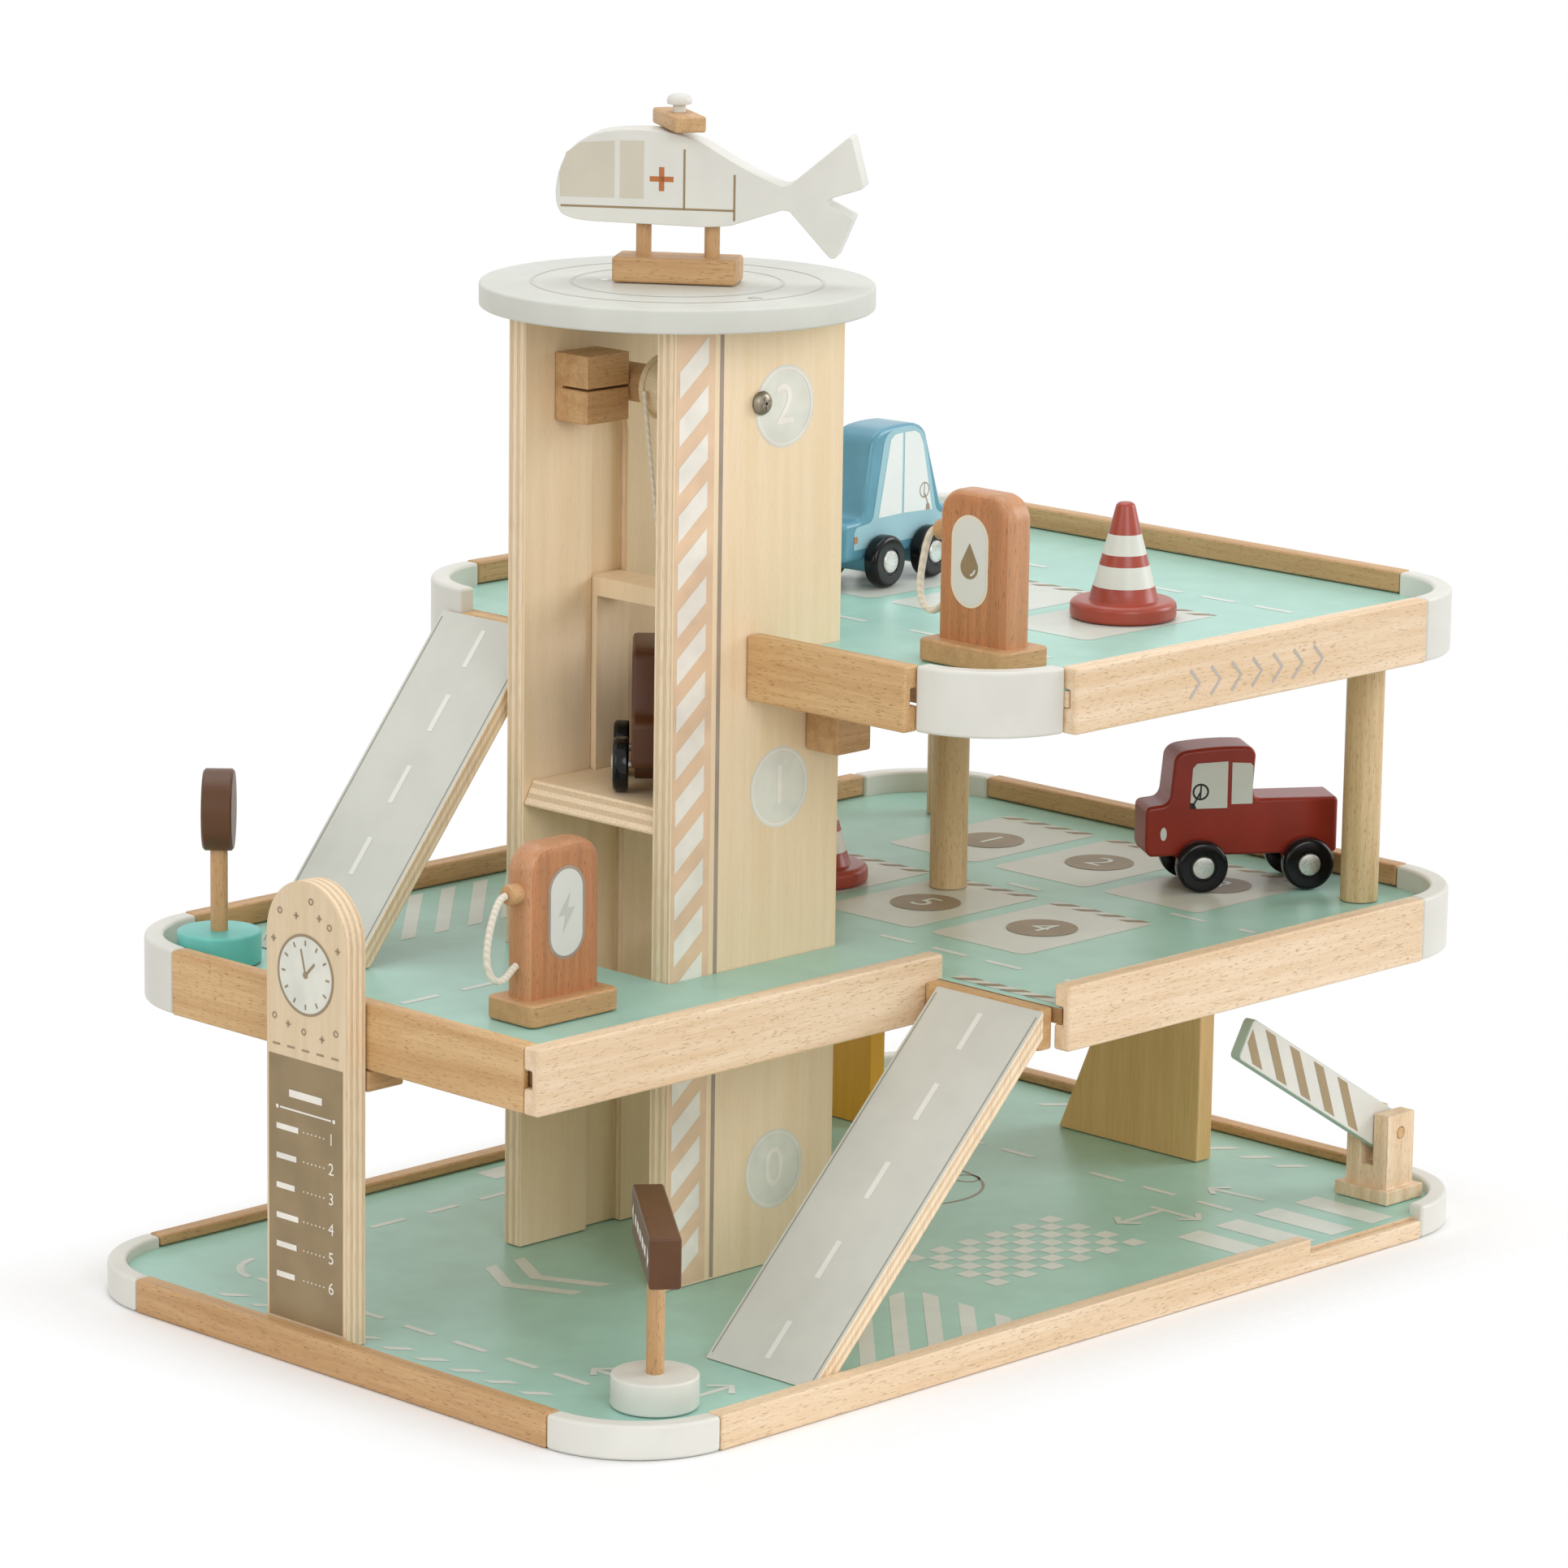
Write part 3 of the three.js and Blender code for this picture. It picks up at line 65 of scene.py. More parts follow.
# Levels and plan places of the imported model
CLEARANCE = 0.3
PLY = 9.0
RAIL = 7.5
GROOVE = 4.0
CORNER_ARM = 44.0
PANEL = 6.0
GROUND_TOP = 8.5
GROUND_RAIL_TOP = 13.0
MIDDLE_TOP = 128.5
UPPER_TOP = 247.5
RAIL_ABOVE = 9.0
RAIL_HEIGHT = 25.0
MIDDLE_LEFT = 18.6
MIDDLE_RIGHT = 478.0
MIDDLE_FRONT = 2.5
NOTCH_RIGHT = 226.0
NOTCH_BACK = 68.5
UPPER_LEFT = 184.0
UPPER_LEFT_BEHIND = 166.0
UPPER_RIGHT = 476.0
UPPER_FRONT = 4.5
UPPER_INSET = 5.0
CORNER_INSET = 0.6
TOWER_LEFT = 145.0
TOWER_RIGHT = 235.0
TOWER_FRONT = 130.5
TOWER_BACK = 219.0
TOWER_CENTRE = 190.0
TOWER_MIDDLE = 174.75
HELIPAD_RADIUS = 74.5
HELIPAD_BOTTOM = 375.0
HELIPAD_THICKNESS = 9.0
SHAFT_HEIGHT = 343.5
LIFT_FLOOR = 193.0
LIFT_ROOF = 260.5
LIFT_ROOF_THICKNESS = 7.5
BOARD_LEFT = 7.8
BOARD_FRONT = 158.0
BOARD_WIDTH = 43.5
BOARD_THICKNESS = 10.0
WHEEL_RADIUS = 10.4
RAMP_THICKNESS = 7.5
RAMP_WIDTH = 54.0
# Each ramp's lower and upper end on its top face in X and Z, and the middle of its width in Y
LOWER_RAMP = ((97.5, 8.8), (218.5, 128.5), 34.8)
UPPER_RAMP = ((69.7, 128.8), (165.7, 247.5), 250.2)

# How far printed layers stand off the wood, so that each lies on the one below
LAYER = 0.09

# Points closer than this are made one: in a new mesh, in an outline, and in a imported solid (in metres)
MESH_MERGE = 0.0005
OUTLINE_MERGE = 0.05
SOLID_MERGE = 0.000004
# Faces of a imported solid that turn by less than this, in degrees, are one face
FLAT_ANGLE = 0.6


def srgb(text):
    """A colour written as six hexadecimal digits, in the linear values that shaders use."""
    parts = [int(text[i:i + 2], 16) / 255 for i in (0, 2, 4)]
    return tuple(v / 12.92 if v <= 0.04045 else ((v + 0.055) / 1.055) ** 2.4 for v in parts)


def colour_property(label, text, description):
    return bpy.props.FloatVectorProperty(name=label, description=description, subtype="COLOR", size=3,
                                         min=0.0, max=1.0, default=srgb(text))


def length_property(label, millimetres, description):
    return bpy.props.FloatProperty(name=label, description=description, unit="LENGTH", subtype="DISTANCE",
                                   min=0.0, default=millimetres * MILLIMETRE)


class GARAGE_PG_colours(bpy.types.PropertyGroup):
    """Colours of the garage's woods, paints and prints."""

    beech: colour_property("Beech", "EDD7B9", "Pale beech of the long rails")
    beech_dark: colour_property("Beech grain", "D3AE80", "Darker grain of the long rails")
    # Side beech: the rails' beech darkened with painted shade, for the short rails whose seen faces turn to
    # the left, away from the light
    beech_in_painted_shade: colour_property("Side beech", "D9B684", "Darker batch of beech in the short rails")
    beech_grain_in_painted_shade: colour_property("Side beech grain", "B5844E", "Darker grain of the short rails")
    # Rear beech: deeper beech of the blocks and poles, also darkened with painted shade for the back and end
    # rails, whose seen faces lie in shade
    rear: colour_property("Rear beech", "CFA879", "Deeper beech of the rear rails, blocks and poles")
    rear_dark: colour_property("Rear beech grain", "A97C4A", "Darker grain of the rear rails and blocks")
    dowel: colour_property("Dowel", "DCC297", "Pale turned posts between the decks")
    dowel_dark: colour_property("Dowel grain", "B99762", "Darker grain of the posts")
    birch: colour_property("Birch", "F3DDBC", "Face of the birch plywood")
    birch_dark: colour_property("Birch grain", "E9CEA3", "Darker grain of the birch plywood")
    # Golden ply: a strong yellow that is painted yellow light, standing in for the warm light on the rear
    # support in its shade
    ply_in_painted_yellow_light: colour_property("Golden ply", "DCA226", "Yellow stained plywood of the rear support")
    ply_dark: colour_property("Plywood edge", "A88356", "Darker layers in the plywood's edges")
    white: colour_property("White paint", "DEDDD4", "Painted corner pieces")
    mint: colour_property("Mint", "A9D5C7", "Printed deck surface")
    marking: colour_property("Deck marking", "DDE4DC", "Pale lines and bays on the decks")
    bay: colour_property("Parking bay", "D3D8CD", "Pale fill of the parking bays")
    taupe: colour_property("Taupe", "9E8D73", "Grey brown printed details")
    ramp: colour_property("Ramp paint", "D2D3CA", "Ramps and the round platform")
    red: colour_property("Red paint", "8E2D1D", "Body of the pickup")
    blue: colour_property("Blue paint", "649FB4", "Body of the blue car")
    brown: colour_property("Brown paint", "57331C", "Body of the car in the lift")
    cone: colour_property("Cone paint", "A64736", "Body and foot of the traffic cones")
    teal: colour_property("Teal paint", "70CABF", "Foot of the round sign")
    sign: colour_property("Sign brown", "5E3D24", "Heads of both signs")
    pump: colour_property("Stained beech", "C38456", "Bodies of the fuel pumps")
    # Pump rim: the paler rim round the pumps' rounded edges is a painted highlight
    pump_rim_highlight: colour_property("Pump rim", "CC9469", "Paler end grain round the fuel pumps")
    plinth: colour_property("Plain beech", "CFA170", "Feet and knobs of the fuel pumps")
    tyre: colour_property("Tyre", "0B0B0D", "Glossy black wheels")
    steel: colour_property("Steel", "C9C8C4", "Hub caps and screws")
    cord: colour_property("Cotton", "EFE6D4", "Cotton ropes and the lift's cord")


class GARAGE_PG_sizes(bpy.types.PropertyGroup):
    """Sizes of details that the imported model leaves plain."""

    rail_edge: length_property("Rail edge", 1.1, "Radius of the eased edges of beech rails")
    ply_edge: length_property("Plywood edge", 0.6, "Radius of the eased edges of plywood")
    corner_edge: length_property("Corner edge", 1.5, "Radius of the eased edges of white corner pieces")
    block_edge: length_property("Toy edge", 2.6, "Radius of the rounded edges of the cars")
    pump_edge: length_property("Pump edge", 4.0, "Radius of the rounded edges of the fuel pumps")


def settings():
    return bpy.context.scene.garage_colours, bpy.context.scene.garage_sizes


# ---- Materials

def add_node(tree, kind, inputs=None, **values):
    """Adds a node. Each input is a number, a vector, a colour or another node's output socket."""
    node = tree.nodes.new(kind)
    for key, value in values.items():
        setattr(node, key, value)
    for key, value in (inputs or {}).items():
        socket = node.inputs[key]
        if isinstance(value, bpy.types.NodeSocket):
            tree.links.new(value, socket)
        elif socket.type == "RGBA":
            socket.default_value = (*value, 1.0)
        else:
            socket.default_value = value
    return node


def shaded(colour, share):
    return tuple(v * share for v in colour)


def start_material(name):
    material = bpy.data.materials.new(name)
    material.use_nodes = True
    material.node_tree.nodes.clear()
    return material, material.node_tree


def finish_material(tree, height, strength, depth, **looks):
    """Joins the looks to a shader, with relief from a pattern's height: its strength and depth in mm."""
    relief = add_node(tree, "ShaderNodeBump", {"Height": height, "Strength": strength,
                                              "Distance": depth * MILLIMETRE})
    inputs = {key.replace("_", " "): value for key, value in looks.items()}
    shader = add_node(tree, "ShaderNodeBsdfPrincipled", {**inputs, "Normal": relief.outputs["Normal"]})
    add_node(tree, "ShaderNodeOutputMaterial", {"Surface": shader.outputs["BSDF"]})


def ramp_layers(ramp):
    """Where a ramp's plywood starts above its turned X and Y plane, its thickness, layers and tilt."""
    (x0, z0), (x1, z1), _ = ramp
    slope = math.atan2(z1 - z0, x1 - x0)
    height = -math.sin(slope) * (x0 - BASE_LENGTH / 2) + math.cos(slope) * z0
    return height - RAMP_THICKNESS, RAMP_THICKNESS, 5, slope


def along_grain(grain, along, across):
    """Cycles per metre on each axis of a pattern that is drawn out along the grain (in mm)."""
    return tuple(1 / (MILLIMETRE * (along if axis == grain else across)) for axis in "XYZ")


# Cycles per metre of patterns without a grain: patches of 17 mm in paint and of 6 mm in moulded
# plastic, marks of 0.7 mm on turned steel and fuzz of 0.4 mm on cotton
PAINT_PATCHES = (60.0,) * 3
PLASTIC_PATCHES = (180.0,) * 3
STEEL_MARKS = (1500.0,) * 3
COTTON_FUZZ = (2600.0,) * 3


def pattern(tree, cycles, turn=0.0, detail=2.0):
    """An uneven pattern from 0 to 1 with these cycles per metre, turned in plan by degrees."""
    place = add_node(tree, "ShaderNodeTexCoord").outputs["Object"]
    turned = add_node(tree, "ShaderNodeMapping", {"Vector": place,
                                                 "Rotation": (0.0, 0.0, -math.radians(turn))})
    spread = add_node(tree, "ShaderNodeMapping", {"Vector": turned.outputs["Vector"], "Scale": cycles})
    return add_node(tree, "ShaderNodeTexNoise", {"Vector": spread.outputs["Vector"], "Scale": 1.0,
                                                "Detail": detail}).outputs["Fac"]


def blended(tree, height, rise, shares, first, second):
    """The first colour, with these shares of the second where a pattern's height begins and ends its
    rise."""
    share = add_node(tree, "ShaderNodeMapRange", {
        "Value": height, "From Min": rise[0], "From Max": rise[1], "To Min": shares[0],
        "To Max": shares[1]}).outputs["Result"]
    # A mix of colours has its factor, its two colours and its result at these places
    return add_node(tree, "ShaderNodeMix", {0: share, 6: first, 7: second}, data_type="RGBA").outputs[2]


def wood(name, light, dark, grain, turn=0.0, flecks=0.6, roughness=0.5, band=5.0):
    """Sanded wood: broad bands and fine grain, with the short dark flecks of beech."""
    material, tree = start_material(name)
    bands = pattern(tree, along_grain(grain, 26 * band, band), turn, 3.0)
    fine = pattern(tree, along_grain(grain, 18, 0.7), turn, 3.0)
    marks = pattern(tree, along_grain(grain, 3.4, 0.42), turn, 1.0)
    colour = blended(tree, bands, (0.38, 0.66), (0.05, 0.55), light, dark)
    colour = blended(tree, fine, (0.42, 0.72), (0.0, 0.4), colour, dark)
    colour = blended(tree, marks, (0.62, 0.7), (0.0, flecks), colour, shaded(dark, 0.55))
    finish_material(tree, fine, 0.25, 0.12, Base_Color=colour, Roughness=roughness)
    return material


def painted(name, colour, grain="X", roughness=0.38, tint=0.06, sheen=0.3):
    """Sprayed paint on wood: the grain just shows as relief, and the colour is a little uneven."""
    material, tree = start_material(name)
    fine = pattern(tree, along_grain(grain, 14, 0.8))
    cloud = pattern(tree, PAINT_PATCHES)
    shown = blended(tree, cloud, (0.35, 0.65), (0.0, 1.0), colour, shaded(colour, 1 - 2.4 * tint))
    finish_material(tree, fine, 0.18, 0.08, Base_Color=shown, Roughness=roughness,
                    Specular_IOR_Level=sheen)
    return material


def ply_edge(name, light, dark, axis, start, thickness, layers=5, tilt=0.0, contrast=0.34):
    """The sawn edge of plywood: glued layers that alternate between pale and dark."""
    material, tree = start_material(name)
    place = add_node(tree, "ShaderNodeTexCoord").outputs["Object"]
    turned = add_node(tree, "ShaderNodeMapping", {"Vector": place, "Rotation": (0.0, tilt, 0.0)})
    parts = add_node(tree, "ShaderNodeSeparateXYZ", {"Vector": turned.outputs["Vector"]})
    layer = add_node(tree, "ShaderNodeMapRange", {
        "Value": parts.outputs[axis], "From Min": start * MILLIMETRE,
        "From Max": (start + thickness) * MILLIMETRE, "To Min": 0.0, "To Max": layers / 2})
    wave = add_node(tree, "ShaderNodeMath", {0: layer.outputs["Result"], 1: 0.5},
                    operation="PINGPONG").outputs["Value"]
    grain = pattern(tree, along_grain("Z", 9, 0.5))
    shown = blended(tree, wave, (0.2, 0.3), (contrast, 0.0), light, dark)
    shown = blended(tree, grain, (0.45, 0.7), (0.0, 0.3), shown, dark)
    finish_material(tree, wave, 0.3, 0.12, Base_Color=shown, Roughness=0.65)
    return material


def plastic(name, colour, roughness=0.12):
    """Glossy moulded plastic with a trace of unevenness in its shine."""
    material, tree = start_material(name)
    cloud = pattern(tree, PLASTIC_PATCHES)
    rough = add_node(tree, "ShaderNodeMapRange", {
        "Value": cloud, "From Min": 0.3, "From Max": 0.7, "To Min": roughness,
        "To Max": roughness * 1.8}).outputs["Result"]
    finish_material(tree, cloud, 0.05, 0.05, Base_Color=colour, Roughness=rough, Specular_IOR_Level=0.3)
    return material


def metal(name, colour, roughness=0.28):
    """Zinc plated steel with fine turning marks."""
    material, tree = start_material(name)
    fine = pattern(tree, STEEL_MARKS)
    rough = add_node(tree, "ShaderNodeMapRange", {
        "Value": fine, "From Min": 0.3, "From Max": 0.7, "To Min": roughness * 0.8,
        "To Max": roughness * 1.4}).outputs["Result"]
    finish_material(tree, fine, 0.08, 0.03, Base_Color=colour, Roughness=rough, Metallic=1.0)
    return material


# A wave texture repeats every 0.314 of its own units
WAVES_PER_CYCLE = 0.314


def cotton(name, colour, pitch):
    """Braided cotton: strands that cross the cord at a slant, with painted shade in the creases between them
    and soft fuzz.
    """
    material, tree = start_material(name)
    place = add_node(tree, "ShaderNodeTexCoord").outputs["Object"]
    turned = add_node(tree, "ShaderNodeMapping", {"Vector": place, "Rotation": (0.6, 0.7, 0.0)})
    strands = add_node(tree, "ShaderNodeTexWave",
                       {"Vector": turned.outputs["Vector"], "Scale": WAVES_PER_CYCLE / (pitch * MILLIMETRE),
                        "Distortion": 1.5, "Detail": 1.0}).outputs["Fac"]
    fuzz = pattern(tree, COTTON_FUZZ, detail=3.0)
    # Painted shade: the creases between the strands are darker
    shown = blended(tree, strands, (0.0, 1.0), (0.45, 0.0), colour, shaded(colour, 0.62))
    shown = blended(tree, fuzz, (0.4, 0.7), (0.0, 0.3), shown, shaded(colour, 0.75))
    finish_material(tree, strands, 0.6, 0.3, Base_Color=shown, Roughness=0.95, Sheen_Weight=0.3)
    return material


def wall_edge(name, colours, back):
    """A tower wall's edge, whose layers are counted from the wall's front face."""
    return ply_edge(name, colours.birch, colours.ply_dark, "Y", back - PLY - BASE_WIDTH / 2, PLY)


def ramp_edge(name, colours, ramp):
    return ply_edge(name, colours.birch, colours.ply_dark, "Z", *ramp_layers(ramp))


# The look of each wood, paint and part, made from the user's colours
LOOKS = {
    "beech_x": lambda c: wood("beech_grain_x", c.beech, c.beech_dark, "X"),
    # Painted shade: the short rails, whose seen faces turn to the left, get the darkened side beech
    "beech_y": lambda c: wood("beech_grain_y", c.beech_in_painted_shade, c.beech_grain_in_painted_shade, "Y"),
    "beech_z": lambda c: wood("beech_grain_z", c.dowel, c.dowel_dark, "Z"),
    "beech_post": lambda c: wood("pale_beech_grain_z", c.beech, c.beech_dark, "Z"),
    # The back and end rails take the rear beech: partly its own deeper colour, partly painted shade, as their
    # seen faces lie in shade
    "rear_x": lambda c: wood("deep_beech_with_painted_shade_x", c.rear, c.rear_dark, "X"),
    "rear_y": lambda c: wood("deep_beech_with_painted_shade_y", c.rear, c.rear_dark, "Y"),
    "rear_z": lambda c: wood("deep_beech_with_painted_shade_z", c.rear, c.rear_dark, "Z"),
    "helicopter_beech": lambda c: wood("beech_grain_stand", c.rear, c.rear_dark, "X", turn=HELICOPTER_TURN),
    "rotor_beech": lambda c: wood("beech_grain_rotor", c.rear, c.rear_dark, "X",
                                  turn=HELICOPTER_TURN + ROTOR_TURN),
    "spool": lambda c: wood("pale_turned_spool", srgb("EAD8B6"), srgb("D2B689"), "Y", flecks=0.2),
    "pump": lambda c: wood("stained_beech", c.pump, shaded(c.pump, 0.6), "Z", roughness=0.4, band=2.6),
    # Painted highlight: the pumps' rims are paler than their faces
    "pump_rim_highlight": lambda c: wood("stained_beech_rim_highlight", c.pump_rim_highlight, shaded(c.pump_rim_highlight, 0.7), "Z",
                               roughness=0.4),
    "plinth": lambda c: wood("plain_beech_x", c.plinth, shaded(c.plinth, 0.66), "X", roughness=0.45),
    # Painted shade: the middle deck's edge in the rails' grooves is the plywood's dark layers, darkened by
    # half
    "groove": lambda c: wood("painted_groove_shade_x", c.ply_dark, shaded(c.ply_dark, 0.5), "X"),
    "birch_x": lambda c: wood("birch_ply_face_x", c.birch, c.birch_dark, "X", flecks=0.12),
    "birch_z": lambda c: wood("birch_ply_face_z", c.birch, c.birch_dark, "Z", flecks=0.12),
    # Painted yellow light on the rear support panel
    "ply_in_painted_yellow_light": lambda c: wood("ply_face_with_painted_yellow_light_z", c.ply_in_painted_yellow_light, shaded(c.ply_in_painted_yellow_light, 0.8), "Z", flecks=0.1),
    # The price board's face, which turns to the left, is the birch darkened with painted shade
    "board_face": lambda c: wood("birch_ply_board_in_painted_shade", shaded(c.birch, 0.86), shaded(c.birch_dark, 0.8), "Z",
                                 flecks=0.12),
    # The right support's swirling grain, in a yellow that stands in for the warm shade under the deck: painted
    # shade
    "support_face": lambda c: wood("birch_ply_support_in_painted_shade", srgb("E4C084"), srgb("C49A5A"), "Z", flecks=0.1,
                                   band=14.0),
    "front_wall_edge": lambda c: wall_edge("ply_edge_front_wall", c, TOWER_FRONT + PLY),
    "rear_wall_edge": lambda c: wall_edge("ply_edge_rear_wall", c, TOWER_BACK),
    "lift_floor_edge": lambda c: ply_edge("ply_edge_lift_floor", c.birch, c.ply_dark, "Z", LIFT_FLOOR - PLY,
                                          PLY, contrast=0.4),
    "lift_roof_edge": lambda c: ply_edge("ply_edge_lift_roof", c.birch, c.ply_dark, "Z", LIFT_ROOF,
                                         LIFT_ROOF_THICKNESS, contrast=0.4),
    "board_edge": lambda c: ply_edge("ply_edge_board", c.birch, c.ply_dark, "X",
                                     BOARD_LEFT - BASE_LENGTH / 2, BOARD_THICKNESS, 7, contrast=0.36),
    "lower_ramp_edge": lambda c: ramp_edge("ply_edge_lower_ramp", c, LOWER_RAMP),
    "upper_ramp_edge": lambda c: ramp_edge("ply_edge_upper_ramp", c, UPPER_RAMP),
    "white": lambda c: painted("white_paint", c.white, roughness=0.35, tint=0.02),
    "mint": lambda c: painted("mint_print_on_ply", c.mint, roughness=0.34, tint=0.03),
    "marking": lambda c: painted("pale_marking", c.marking, roughness=0.34, tint=0.03),
    "bay": lambda c: painted("parking_bay_print", c.bay, roughness=0.34, tint=0.02),
    "taupe": lambda c: painted("taupe_print", c.taupe, roughness=0.45),
    "ramp": lambda c: painted("grey_white_paint", c.ramp, roughness=0.4, tint=0.02),
    "red": lambda c: painted("red_paint", c.red, roughness=0.28),
    "blue": lambda c: painted("blue_paint", c.blue, roughness=0.26, sheen=0.45),
    "brown": lambda c: painted("brown_paint", c.brown, roughness=0.35),
    "cone": lambda c: painted("cone_paint", c.cone, "Z", roughness=0.3, sheen=0.4),
    "teal": lambda c: painted("teal_paint", c.teal, "Z", roughness=0.35),
    "sign": lambda c: painted("sign_paint", c.sign, roughness=0.4),
    "tyre": lambda c: plastic("tyre_gloss", c.tyre),
    "peg": lambda c: plastic("pale_plastic", srgb("D9D8D0"), 0.3),
    "steel": lambda c: metal("plated_steel", c.steel),
    "dull_steel": lambda c: metal("worn_screw_steel", srgb("8F8676"), 0.4),
    "cord": lambda c: cotton("cotton_rope", c.cord, 1.6),
}

# Printed inks: the material's name, its colour, the grain that shows below, roughness and unevenness
INKS = {
    "band": ("peach_print", "EBCBAA", "Z", 0.5, 0.06),
    "band_bar": ("white_print", "F4EFE4", "Z", 0.5, 0.06),
    "grey_line": ("grey_print", "A9998A", "Z", 0.5, 0.06),
    "disc": ("pale_disc_print", "E6E6DA", "Z", 0.5, 0.06),
    "board_print": ("board_print", "998564", "Z", 0.5, 0.06),
    "ramp_dash": ("white_dash_print", "E9E9E2", "X", 0.4, 0.01),
    "ramp_line": ("grey_line_print", "9E9A8C", "X", 0.4, 0.01),
    "ink": ("black_print", "24211F", "Z", 0.5, 0.01),
    "pane": ("grey_window_print", "C9CBC2", "Z", 0.45, 0.02),
    "pale_pane": ("white_window_print", "EEF1EF", "Z", 0.45, 0.01),
    "side_blue": ("pale_blue_print", "A3CBD6", "Z", 0.4, 0.02),
    "orange_print": ("orange_print", "C98A5C", "Z", 0.5, 0.06),
    "beige_pane": ("beige_window_print", "CFC8B6", "Z", 0.5, 0.02),
    "copper_print": ("copper_print", "B9713F", "Z", 0.5, 0.02),
    "label": ("label_print", "DADAD3", "Z", 0.45, 0.01),
    "faint_grey": ("faint_grey_print", "C6C6BE", "Z", 0.45, 0.01),
    "cream_line": ("cream_print", "E4DCC6", "Z", 0.45, 0.01),
    "arm_rim": ("mint_rim_paint", "B3C6B8", "X", 0.4, 0.02),
    "arm_stripe": ("taupe_stripe_print", "A5916F", "Z", 0.45, 0.03),
    "pad_ring": ("faint_ring_print", "C6C7BE", "X", 0.4, 0.01),
    "rail_print": ("grey_rail_print", "B9B1A8", "Z", 0.5, 0.02),
}

made_looks = {}


def look(name):
    """The material of that name, made at its first use."""
    if name not in made_looks:
        if name in INKS:
            title, text, grain, roughness, tint = INKS[name]
            made_looks[name] = painted(title, srgb(text), grain, roughness, tint)
        else:
            made_looks[name] = LOOKS[name](settings()[0])
    return made_looks[name]


# ---- Mesh tools, all in millimetres

def prism(bm, outline, low, high, slots=(0, 0, 0)):
    """A solid with this outline between two heights. slots: the materials of foot, top and sides."""
    foot = [bm.verts.new((x, y, low)) for x, y in outline]
    top = [bm.verts.new((x, y, high)) for x, y in outline]
    bm.faces.new(foot[::-1]).material_index = slots[0]
    bm.faces.new(top).material_index = slots[1]
    for i in range(len(outline)):
        j = (i + 1) % len(outline)
        bm.faces.new((foot[i], foot[j], top[j], top[i])).material_index = slots[2]


def lathe(bm, profile, steps=96, matrix=Matrix(), bands=None):
    """Turns a profile of radius and height about the Z axis. bands gives each stretch's material."""
    verts = [bm.verts.new((r, 0.0, z)) for r, z in profile]
    edges = [bm.edges.new(pair) for pair in zip(verts, verts[1:])]
    start = set(bm.faces)
    bmesh.ops.spin(bm, geom=verts + edges, cent=(0, 0, 0), axis=(0, 0, 1), angle=math.tau, steps=steps,
                   use_merge=True)
    made = [f for f in bm.faces if f not in start]
    if bands:
        for face in made:
            z = face.calc_center_median().z
            face.material_index = next((slot for top, slot in bands if z <= top), bands[-1][1])
    points = {v for f in made for v in f.verts}
    bmesh.ops.remove_doubles(bm, verts=list(points), dist=MESH_MERGE)
    made = [f for f in bm.faces if f not in start]
    bmesh.ops.recalc_face_normals(bm, faces=made)
    bmesh.ops.transform(bm, matrix=matrix, verts=list({v for f in made for v in f.verts}))


def box(bm, low, high):
    made = bmesh.ops.create_cube(bm, size=1.0)["verts"]
    size = Vector(high) - Vector(low)
    centre = (Vector(high) + Vector(low)) / 2
    bmesh.ops.scale(bm, vec=size, verts=made)
    bmesh.ops.translate(bm, vec=centre, verts=made)
    return made


def arc(cx, cy, radius, start, end, steps):
    """Points on an arc, from one angle to another in degrees."""
    return [(cx + radius * math.cos(math.radians(start + (end - start) * i / steps)),
             cy + radius * math.sin(math.radians(start + (end - start) * i / steps)))
            for i in range(steps + 1)]


def rounded_box(x0, x1, y0, y1, radius, steps=6):
    return (arc(x1 - radius, y0 + radius, radius, -90, 0, steps)
            + arc(x1 - radius, y1 - radius, radius, 0, 90, steps)
            + arc(x0 + radius, y1 - radius, radius, 90, 180, steps)
            + arc(x0 + radius, y0 + radius, radius, 180, 270, steps))


def share_outline(shares, place, steps=7):
    """An outline from steps of one point (a line) or two points (a curve with its control first)."""
    points = [place(shares[0])]
    for step in shares[1:]:
        if len(step) == 2:
            points.append(place(step))
        else:
            a, b, c = points[-1], place(step[:2]), place(step[2:])
            for i in range(1, steps + 1):
                t = i / steps
                points.append(tuple((1 - t) ** 2 * a[k] + 2 * t * (1 - t) * b[k] + t * t * c[k]
                                    for k in (0, 1)))
    clean = []
    for p in points:
        if not clean or math.dist(p, clean[-1]) > OUTLINE_MERGE:
            clean.append(p)
    return clean[:-1] if math.dist(clean[0], clean[-1]) < OUTLINE_MERGE else clean


# Stands a flat shape upright, facing the front, and lays a turned shape across a car or a sign
STANDING = Matrix.Rotation(math.pi / 2, 4, "X")
ACROSS = Matrix.Rotation(-math.pi / 2, 4, "X")


def make_object(name, bm, looks, place=Matrix(), edge=0.0, body="building", nodes=(),
                segments=3, angle=35.0):
    """Turns the mesh into a piece of the frame, with eased edges, that rides on a body if one is
    given."""
    bm.transform(TO_FRAME @ place)
    bmesh.ops.recalc_face_normals(bm, faces=list(bm.faces))
    mesh = bpy.data.meshes.new(name)
    bm.to_mesh(mesh)
    bm.free()
    return dress_mesh(name, mesh, looks, edge, body, nodes, segments, angle)


